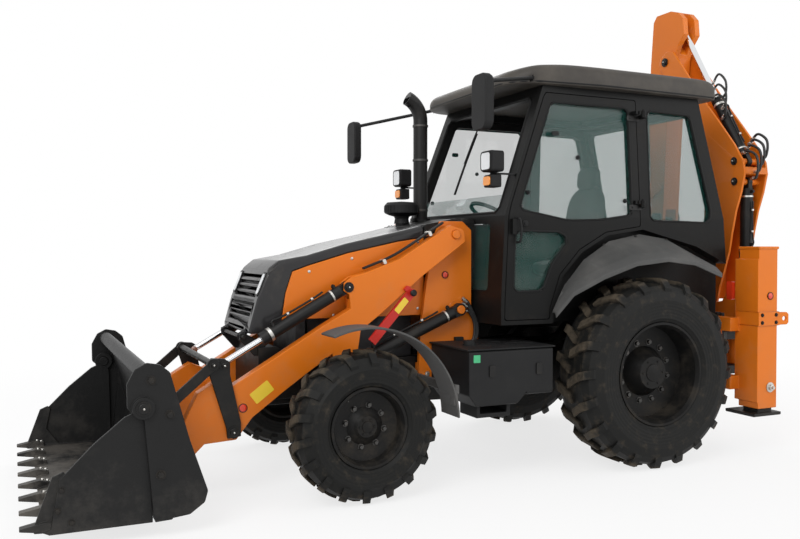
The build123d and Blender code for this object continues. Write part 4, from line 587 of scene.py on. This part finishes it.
def hose_set(name, routes, radius, body, mirrored=False):
    """Hoses clamped at both ends: a line carried along each route, and a bright union at each end."""
    union = [(-4, radius + 3), (26, radius + 3), (28, radius + 1), (44, radius + 1)]
    unions = [turned(union, end, inner - end, 12)
              for route in routes for end, inner in ((route[0], route[1]), (route[-1], route[-2]))]
    piece(f"{name}_hoses", [pipe(route, radius) for route in routes], hose_cover, body,
          mirrored)
    piece(f"{name}_unions", unions, zinc, body, mirrored)


hose_set("tower", [[spot(1300, 436 + 4 * row, 1190 + 40 * row), spot(1250, 446, 1170 + 30 * row),
                    spot(1205 - 12 * row, 452, 1080), spot(1215 - 12 * row, 452, 960),
                    spot(1290, 452, 905 - 18 * row), spot(1330, 446, 925)] for row in range(3)],
         10, "chassis", True)

# Hood: a black moulded cover with a slotted front between two cheeks, hinged at its nose. Orange side
# panels are screwed on, and a slim lamp stands in each cheek behind a clear lens.
hood_black = paint("hood_enamel", (0.016, 0.016, 0.018), (0.024, 0.023, 0.023), 0.30, dust_share=0.12,
                   coat=0.2)
finish_nodes(hood_black, "hood_cover")
softened(14, "hood_cover", segments=4)
cheek_up = np.array([-85, 0, 210]) / 226.6
bezel, lens = (plate(oblong(width, height, 22), spot(2808, 318, 1395), leftward, cheek_up, depth)
               for width, height, depth in ((74, 176, 5), (50, 150, 8)))
piece("hood_lamp_bezels", [bezel], black_enamel, "hood", True)
piece("hood_lamp_lenses", [lens], white_lens, "hood", True)
hood_side = 375
screws = [turned([(0, 11), (3, 10), (5, 6)], spot(x, hood_side, z), leftward, 16)
          for x, z in ((1640, 1690), (1640, 1200), (2160, 1570), (2480, 1480), (2640, 1180), (2300, 1170))]
piece("hood_panel_screws", screws, zinc, "hood", True)

# Cowl, stack and intake: a sheet cover behind the hood, the exhaust pipe in two welded lengths with
# clamps, and the ribbed plastic head that spins dust out of the intake air.


def moulded(name, colour, pale, roughness=0.55, grain=700.0):
    """Moulded plastic: fine grain in the surface and a chalky bloom where the sun has aged it."""
    material, shader, wire, place = new_material(name)
    bloom = noise(wire, place, 4.0, 5.0, 0.6).band(0.35, 0.75)
    plug(wire, shader, Base_Color=mixed(wire, bloom, colour, pale), Roughness=bloom * 0.12 + roughness,
         Specular_IOR_Level=0.25, Normal=bump(wire, noise(wire, place, grain, 1.0), 0.25, 0.0004))
    return material


black_moulding = moulded("black_moulding", (0.006, 0.006, 0.0065), (0.012, 0.012, 0.012))
finish_nodes(black_moulding, "air_precleaner", "mirrors_and_lamps", "side_tanks")
softened(12, "mirrors_and_lamps", segments=4)
softened(7, "side_tanks", segments=3)
bands = [turned([(0, 57), (0, 64), (16, 64), (16, 57)], spot(1300, -280, z), upward, 40, True)
         for z in (1950, 2360, 2640)]
piece("stack_clamps", bands, black_plate, "chassis")
ribs = []
for turn in np.arange(28) * 2 * pi / 28:
    rib_foot = spot(1508, -195, 1959) + np.array([cos(turn), sin(turn), 0]) * 0.134
    ribs.append(plate(oblong(5, 50, 2), rib_foot, (-sin(turn), cos(turn), 0), upward, 8))
piece("intake_ribs", ribs, black_moulding, "chassis")

# Cab: a welded tube frame in near-black enamel with thin doors on rear hinges. Each pane sits in a
# rubber seal; the doors have a grab handle, a push-button lock, and a gas strut's end plate.
cab_enamel = paint("cab_enamel", (0.0045, 0.0045, 0.0045), (0.008, 0.008, 0.0078), 0.42, dust_share=0.05,
                   shine=0.12)
finish_nodes(cab_enamel, "cab_frame", "door_frame_left", "door_frame_right")
seal_rubber = moulded("seal_rubber", (0.005, 0.005, 0.005), (0.010, 0.010, 0.010), 0.65)
waist, wall_height = 1880, 965


def cut_corners(outline, cut):
    """Each corner becomes two points, a cut's length along its two edges, and the loop is closed."""
    outline = np.array(outline, float)
    ahead = np.roll(outline, -1, 0) - outline
    ahead /= np.linalg.norm(ahead, axis=1, keepdims=True)
    loop = np.stack([outline - np.roll(ahead, 1, 0) * cut, outline + ahead * cut], 1).reshape(-1, 2)
    return np.vstack([loop, loop[:2]])


def wall_y(z):
    """The cab's side leans in above the waist, from 800 mm there to 752 mm at the top."""
    return 800 - 48 * np.clip((z - waist) / wall_height, 0, 1)


def screen_x(z):
    """The windscreen leans back from the waist, from x = 1152 mm there to 800 mm at the top."""
    return 1152 - 352 * (z - waist) / wall_height


def side_seal(outline, sign):
    """A rubber bead round an opening in the side wall."""
    loop = cut_corners(outline, 34)
    return pipe([spot(x, sign * (wall_y(z) - 4), z) for x, z in loop], 9, 8, 1)


upper_pane = [(1032, 1925), (735, 2725), (20, 2725), (5, 1900), (300, 1860), (600, 1850)]
lower_pane = [(1080, 1330), (1062, 1770), (660, 1765), (600, 1700), (745, 1530), (830, 1330)]
quarter_pane = [(-160, 2720), (-600, 2710), (-800, 1930), (-770, 1850), (-170, 1860)]
grip_line = [(1058, 796, 1858), (1056, 826, 1856), (1048, 840, 1846), (1040, 842, 1800), (1040, 842, 1740),
             (1046, 838, 1698), (1052, 826, 1688), (1054, 796, 1686)]
for hand, sign in (("left", 1), ("right", -1)):
    outward, across = (0, sign, 0), (-sign, 0, 0)
    piece(f"door_seals_{hand}", [side_seal(upper_pane, sign), side_seal(lower_pane, sign)], seal_rubber,
          f"door_{hand}")
    piece(f"quarter_seal_{hand}", [side_seal(quarter_pane, sign)], seal_rubber, "chassis")
    grip = pipe([spot(x, sign * y, z) for x, y, z in grip_line], 9, 12)
    lock = turned([(0, 24), (10, 24), (13, 20), (13, 13), (20, 12)], spot(985, sign * 800, 1822), outward, 28)
    stay = plate(oblong(60, 34, 12), spot(708, sign * 772, 2491), across, upward, 10)
    knobs = [turned([(0, 17), (8, 17), (14, 10), (22, 10), (24, 0.1)], spot(x, sign * (wall_y(z) - 22), z),
                    outward, 20) for x, z in ((940, 2050), (60, 2010), (492, 2325))]
    piece(f"door_fittings_{hand}", [grip, lock, stay] + knobs, black_moulding, f"door_{hand}")
    straps = [plate(oblong(120, 40, 10), spot(-20, sign * (wall_y(z) + 0.5), z), across, upward, 8)
              for z in (1960, 2650)]
    heads = bolts([spot(x, sign * (wall_y(z) + 8), z) for z in (1960, 2650) for x in (-52, 8)],
                  outward, 14, 7)
    piece(f"door_hinge_straps_{hand}", straps + heads, black_enamel, f"door_{hand}")

screen_loop = cut_corners([(-690, 1905), (-655, 2770), (655, 2770), (690, 1905)], 40)
rear_loop = cut_corners([(-690, 1850), (-655, 2730), (655, 2730), (690, 1850)], 40)
seals = [pipe([spot(screen_x(z) - 2, y, z) for y, z in screen_loop], 10, 8, 1),
         pipe([spot(-930 + 240 * (z - waist) / wall_height + 2, y, z) for y, z in rear_loop], 10, 8, 1)]
piece("screen_seals", seals, seal_rubber, "chassis")


def wiper(pivot_y, pivot_z, tip_y, tip_z):
    """A pivot boss, a bent arm and the blade's two bars, standing off the windscreen."""
    def off(y, z, stand):
        return spot(screen_x(z) + stand, y, z)
    arm = pipe([off(pivot_y, pivot_z, 10), off(pivot_y, pivot_z, 34),
                off((pivot_y + tip_y) / 2, (pivot_z + tip_z) / 2, 38), off(tip_y, tip_z, 22)], 6)
    blade = [pipe([off(tip_y - 20, tip_z - 250, stand), off(tip_y, tip_z, stand + 4),
                   off(tip_y + 20, tip_z + 250, stand)], radius) for stand, radius in ((2, 4), (12, 6))]
    boss = turned([(0, 26), (26, 24), (34, 16)], off(pivot_y, pivot_z, 0), (0.94, 0, 0.34), 24)
    return [arm, boss] + blade


piece("wiper", wiper(60, 2790, -60, 2330), black_moulding, "chassis")

# Glass: flat safety glass with a faint blue-green tint, set in the rubber seals of the cab and its
# doors, and dusty along its lower edge.


def safety_glass(name):
    """Glass that is clear but for its tint, with dust that fades in from the bottom of the cab."""
    material, shader, wire, place = new_material(name)
    high = part_of(wire, place, 2).band(1.3, 2.4)
    dust = (noise(wire, place, 5.0, 6.0, 0.65) - high * 0.25).band(0.30, 0.75)
    plug(wire, shader, Base_Color=mixed(wire, dust * 0.5, (0.012, 0.085, 0.070), (0.17, 0.20, 0.18)),
         Roughness=dust * 0.05 + 0.02, Alpha=dust * 0.05 + 0.26, Coat_Weight=0.3)
    return material


finish_nodes(safety_glass("safety_glass"), "cab_glass", "door_glass_left", "door_glass_right")

# Roof: a thick moulded cap with round shoulders, grey-brown on top from dust. It sits on the cab's
# frame, and a thin drip rail runs round its foot.
roof_moulding = moulded("roof_moulding", (0.046, 0.041, 0.036), (0.080, 0.071, 0.060), 0.5)
finish_nodes(roof_moulding, "cab_roof")


def roof_height(x, y):
    """Height over the rim's foot in millimetres: the lower of a profile along the cab and a crown across
    it, each the mean over nine neighbouring places, so that both curve without a break."""
    spread = np.linspace(-90, 90, 9)[:, None]
    along = np.interp(x + spread, (-870, -700, -200, 420, 900, 1060), (132, 178, 190, 188, 138, 90)).mean(0)
    across = np.interp(abs(y) + spread, (0, 450, 640, 790, 850), (190, 190, 184, 162, 142)).mean(0)
    return -8 * np.log(np.exp(-along / 8) + np.exp(-across / 8))


def moulded_cap(outline, foot, radius, lip=14):
    """Rings from the foot's middle out to the rim, round its lip and its shoulder by quarter turns, then
    over the crown to the middle, where each ring is the same line shrunk to its centre."""
    ahead = np.roll(outline, -1, 0) - np.roll(outline, 1, 0)
    inward = np.stack([-ahead[:, 1], ahead[:, 0]], 1) / np.linalg.norm(ahead, axis=1, keepdims=True)
    centre, turn = np.array([95.0, 0.0]), np.linspace(0, pi / 2, 10)
    under = [centre + (outline + inward * lip - centre) * shrink for shrink in (0.02, 0.35, 0.7)]
    edge = [outline + inward * lip * (1 - sin(angle)) for angle in turn[::2]]
    shoulder = [outline + inward * radius * (1 - cos(angle)) for angle in turn]
    crown = [centre + (shoulder[-1] - centre) * shrink for shrink in np.linspace(0.97, 0.02, 26)]
    heights = [np.zeros(len(outline)) for ring in under]
    heights += [np.full(len(outline), lip * (1 - cos(angle))) for angle in turn[::2]]
    heights += [roof_height(*ring.T) - radius * (1 - sin(angle)) for ring, angle in zip(shoulder, turn)]
    heights += [roof_height(*ring.T) for ring in crown]
    rings = np.stack([np.column_stack([ring, height + foot])
                      for ring, height in zip(under + edge + shoulder + crown, heights)])
    return (rings.reshape(-1, 3) - rear_axle) / 1000, skin(len(rings), len(outline))


def eased(outline, radius):
    """Each corner becomes a curve between two points a radius away from it: start * (1 - t)^2 + corner *
    2 t (1 - t) + end * t^2."""
    outline = np.array(outline, float)
    ahead = np.roll(outline, -1, 0) - outline
    ahead /= np.linalg.norm(ahead, axis=1, keepdims=True)
    t = np.linspace(0, 1, 9)[None, :, None]
    start, end = (outline - np.roll(ahead, 1, 0) * radius)[:, None], (outline + ahead * radius)[:, None]
    return (start * (1 - t) ** 2 + outline[:, None] * 2 * t * (1 - t) + end * t ** 2).reshape(-1, 2)


def even(outline, count):
    """The closed line through the points again, as a number of points at even distances."""
    loop = np.vstack([outline, outline[:1]])
    way = np.concatenate([[0], np.cumsum(np.linalg.norm(np.diff(loop, axis=0), axis=1))])
    places = np.linspace(0, way[-1], count, endpoint=False)
    return np.stack([np.interp(places, way, loop[:, 0]), np.interp(places, way, loop[:, 1])], 1)


roof_plan = [(-869, -808), (300, -847), (918, -788), (1058, -630), (1058, 630), (918, 788), (300, 847),
             (-869, 808)]
roof_cap = piece("cab_roof_cap", [moulded_cap(even(eased(roof_plan, 110), 220), 2847, 66)], roof_moulding,
                 "chassis")
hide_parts("cab_roof")
roof_rim = cut_corners([(-866, -806), (-866, 806), (300, 846), (916, 786), (1056, 626), (1056, -626),
                        (916, -786), (300, -846)], 60)
piece("roof_drip_rail", [pipe([spot(x * 0.997, y * 0.997, 2862) for x, y in roof_rim], 7, 8, 1)],
      black_moulding, "chassis")

# Mirrors and lamps: black housings on round arms, silvered glass towards the rear, and under each work
# lamp an amber turn lamp.
silver, silver_shader, wire, place = new_material("silvered_glass")
clouds = noise(wire, place, 3.0)
plug(wire, silver_shader, Base_Color=mixed(wire, clouds, (0.72, 0.75, 0.78), (0.66, 0.69, 0.72)),
     Metallic=1.0, Roughness=noise(wire, place, 22.0) * 0.05 + 0.02)


def rim_bar(x, y, z, width, height, corner):
    """A 6 mm bar round an upright rectangle with round corners, closed over its first two points."""
    loop = oblong(width, height, corner)
    return pipe([spot(x, y + u, z + v) for u, v in np.vstack([loop, loop[:2]])], 6, 8, 1)


piece("mirror_glasses", [plate(oblong(158, 336, 50), spot(1515, 1150, 2600), (0, -1, 0), upward, 3)], silver,
      "chassis", True)
piece("mirror_rims", [rim_bar(1514, 1150, 2600, 172, 350, 55)], black_moulding, "chassis",
      True)
piece("work_lamp_lenses", [plate(oblong(118, 118, 20), spot(1291, 768, 2262), leftward, upward, 6)],
      white_lens, "chassis", True)
piece("work_lamp_rims", [rim_bar(1293, 768, 2262, 130, 130, 24)], black_moulding, "chassis",
      True)
piece("turn_lamp_lenses", [plate(oblong(86, 62, 14), spot(1281, 768, 2122), leftward, upward, 9)], amber_lens,
      "chassis", True)

# Seat: a black vinyl seat on a bellows pedestal. Cushion, back and head rest are foam under welted
# covers, crowned in the middle and drawn in at their seams.
vinyl = moulded("seat_vinyl", (0.018, 0.018, 0.019), (0.034, 0.033, 0.032), 0.45, 260.0)


def cushion(middle, half, lean=0.0, square=0.45, crown=0.12):
    """A pillow: half sizes times (cos^s a cos^s b, cos^s a sin^s b, sin^s a), fuller towards the middle."""
    rows, columns = 25, 48
    a = np.linspace(-pi / 2, pi / 2, rows)[:, None]
    b = (np.arange(columns) * 2 * pi / columns)[None, :]

    def power(value):
        return np.sign(value) * np.abs(value) ** square

    x, y, z = np.broadcast_arrays(power(np.cos(a)) * power(np.cos(b)), power(np.cos(a)) * power(np.sin(b)),
                                  power(np.sin(a)))
    z = z * (1 - crown + crown * (1 - x ** 2) * (1 - y ** 2) * 2)
    u, v, w = x * half[0], y * half[1], z * half[2]
    ring = np.stack([middle[0] + u + lean * w, middle[1] + v, middle[2] + w], -1)
    inner = ring[1:-1].reshape(-1, 3)
    low, high, last = len(inner), len(inner) + 1, len(inner) - columns
    faces = skin(rows - 2, columns)[:-2]
    faces += [[low, (i + 1) % columns, i] for i in range(columns)]
    faces += [[high, last + i, last + (i + 1) % columns] for i in range(columns)]
    return (np.vstack([inner, ring[0, :1], ring[-1, :1]]) - rear_axle) / 1000, faces


def seat_piece(name, form):
    return piece(name, [form], vinyl, "chassis", sharp=80)


seat_pad = seat_piece("seat_cushion", cushion((40, 0, 1476), (250, 236, 68)))
seat_back = seat_piece("seat_backrest", cushion((-130, 0, 1850), (56, 228, 305), -0.17))
head_rest = seat_piece("seat_head_rest", cushion((-182, 0, 2246), (44, 126, 92), -0.1))
folds = [(1180 + 20 * k, 196 if k % 2 else 176) for k in range(11)]
bellows = [(1152, 208), (1175, 208), *folds, (1404, 206), (1414, 206)]
pedestal = piece("seat_pedestal", [turned(bellows, spot(40, 0, 0), upward, 40)], black_moulding, "chassis")
for part in (seat_pad, seat_back, head_rest, pedestal):
    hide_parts("operator_seat")
trim_moulding = moulded("cab_trim", (0.060, 0.060, 0.062), (0.085, 0.085, 0.086), 0.6)
finish_nodes(trim_moulding, "cab_controls")

# Fenders: mudguards moulded in a grey-black plastic, dusty on top. Dark screws along their tops hold
# the rear ones.
fender_moulding = moulded("fender_moulding", (0.062, 0.062, 0.061), (0.098, 0.096, 0.092), 0.55)
finish_nodes(fender_moulding, "rear_fenders", "front_fenders")
softened(4, "rear_fenders", "front_fenders", harden=False)
fender_screws = [turned([(0, 12), (3, 11), (6, 7)], spot(x, 830, z), (0, -0.2, 1), 16)
                 for x, z in ((300, 1672), (0, 1738), (-300, 1712))]
piece("fender_screws", fender_screws, black_plate, "chassis", True)

# Tanks: moulded fuel and oil tanks, one on each side under the doors. Each has a slanting tread on top,
# a filler cap and two latches, and a plain green plate sits on the left one.
tank_side, tank_top = 1010, 957
cap_form = turned([(0, 48), (8, 48), (10, 42), (30, 40), (34, 34)], spot(1420, 760, tank_top), upward, 40)
treads = []
for row, x in enumerate(range(960, 1340, 90)):
    for column, y in enumerate(range(640, 1000, 90)):
        slant = 0.7 if (row + column) % 2 else -0.7
        treads.append(plate(oblong(70, 9, 4), spot(x, y, tank_top), (0.7, slant, 0), (-slant, 0.7, 0), 3))
piece("tank_caps", [cap_form], black_moulding, "chassis", True)
piece("tank_treads", treads, black_moulding, "chassis", True)
piece("tank_blank_plate", [plate(oblong(52, 52, 4), spot(1500, tank_side, 890), backward, upward, 1.5)],
      green_film, "chassis")
latches = [plate(oblong(46, 80, 10), spot(x, tank_side, 800), backward, upward, 8) for x in (1000, 1380)]
piece("tank_latches", latches, black_enamel, "chassis", True)

# Engine: one grey iron casting, sooty, seen only in the gaps under the hood's panels and through
# the slots of its nose.
iron, iron_shader, wire, place = new_material("engine_iron")
soot = noise(wire, place, 8.0, 6.0).band(0.4, 0.75)
plug(wire, iron_shader, Base_Color=mixed(wire, soot, (0.055, 0.055, 0.058), (0.018, 0.016, 0.014)),
     Metallic=0.3, Roughness=soot * 0.2 + 0.5,
     Normal=bump(wire, noise(wire, place, 50.0, 6.0), 0.5, 0.003))
finish_nodes(iron, "engine_block")

# Front bucket: welded from worn plate. Black paint survives on the backs and sides; the floor, the
# lips and the teeth are polished brown-grey by soil. Teeth are bolted on through their shanks.


def worn_plate(name, centre_x):
    """Black paint that gives way to grey-brown steel, more the lower and further forward a point is, and
    much less on the side plates, where y * y passes 1.04 to 1.16 square metres."""
    material, shader, wire, place = new_material(name)
    ahead = part_of(wire, place, 0).band(centre_x, centre_x + 0.55)
    low = 1.0 - part_of(wire, place, 2).band(0.10, 0.55)
    aside = part_of(wire, place, 1)
    inside = 1.0 - (aside * aside).band(1.04, 1.16) * 0.8
    rubbed = (noise(wire, place, 4.5, 8.0, 0.7) + ahead * 0.12 + low * 0.16).band(0.60, 0.86) * inside
    streak = noise(wire, place, 4.0, 6.0, stretch=(3.0, 22.0, 3.0))
    steel_shade = mixed(wire, streak, (0.074, 0.067, 0.059), (0.140, 0.128, 0.113))
    plug(wire, shader, Base_Color=mixed(wire, rubbed, (0.008, 0.008, 0.008), steel_shade),
         Metallic=rubbed * 0.35, Roughness=streak * 0.2 + 0.42, Specular_IOR_Level=0.25,
         Normal=bump(wire, noise(wire, place, 26.0, 8.0, 0.7), 0.6, 0.003))
    return material


bucket_steel = worn_plate("bucket_steel", 2.25)
finish_nodes(bucket_steel, "loader_bucket", "loader_clam")
softened(4, "loader_bucket", "loader_clam")
side_places = [spot(x, 1140, z) for x, z in ((3662, 900), (3611, 364), (3560, 700))]
piece("bucket_side_bolts", bolts(side_places, leftward, 40, 18), black_enamel, "bucket", True)
tooth_places = [spot(x, (tooth - 3.5) * 2154 / 7, z)
                for tooth in range(8) for x, z in ((4168, 150), (4198, 158))]
piece("tooth_bolts", bolts(tooth_places, (-0.2, 0, 1), 22, 12), zinc, "clam")
cutter_places = [spot(x, 1112, z) for x, z in ((4080, 150), (4150, 220), (4130, 330))]
piece("side_cutter_bolts", bolts(cutter_places, leftward, 26, 12), black_enamel, "clam", True)

# Rear frame: welded rails and the square boxes of the stabilisers. Each side has bolts and a lock pin
# on its box, a reflector, and a red lamp that faces the rear.
finish_nodes(orange_enamel, "rear_frame")
softened(5, "rear_frame")
box_side = 1100
reflectors("box", spot(-1124, box_side, 1266), 30, "chassis")
lock_pin = turned([(0, 40), (8, 40), (10, 24), (26, 24), (28, 12), (44, 12)], spot(-1130, box_side, 537),
                  leftward, 32)
piece("leg_lock_pins", [lock_pin], zinc, "chassis", True)
strap_places = [spot(x, box_side + 12, z) for x in (-1180, -1030) for z in (1055, 1115)]
piece("box_strap_bolts", bolts(strap_places, leftward, 22, 11), black_enamel, "chassis", True)
tail = [plate(oblong(60, 150, 14), spot(-990, 810, 1300), leftward, upward, -30)]
piece("tail_lamps", tail, red_lens, "chassis", True)

# Digging arm: two welded box plates and the dipper between them. Two sets of hoses loop along the
# boom's back, clamped to the boom at both ends, and a plain yellow plate sits on its side.
back_route = [(-225, 2240, 60, -1395), (-275, 2250, 60, -1390), (-300, 2330, 60, -1385),
              (-285, 2430, 50, -1380), (-200, 2480, 50, -1380), (-130, 2470, 40, -1385)]
hose_set("boom_back", [[hoe(q, z + rise * row, x - 36 * row) for q, z, rise, x in back_route]
                       for row in range(4)], 11, "boom")
hose_set("boom_upper", [[hoe(120, 2800 + 90 * row, -1400), hoe(70, 2850 + 90 * row, -1392),
                         hoe(70, 2950 + 90 * row, -1384), hoe(150, 3020 + 90 * row, -1384),
                         hoe(230, 3010 + 60 * row, -1396)] for row in range(3)], 10, "boom")
piece("boom_blank_plate", [plate(oblong(90, 130, 10), hoe(60, 1700, -1320), (0, -1, 0), upward, 1.5)],
      yellow_film, "boom")
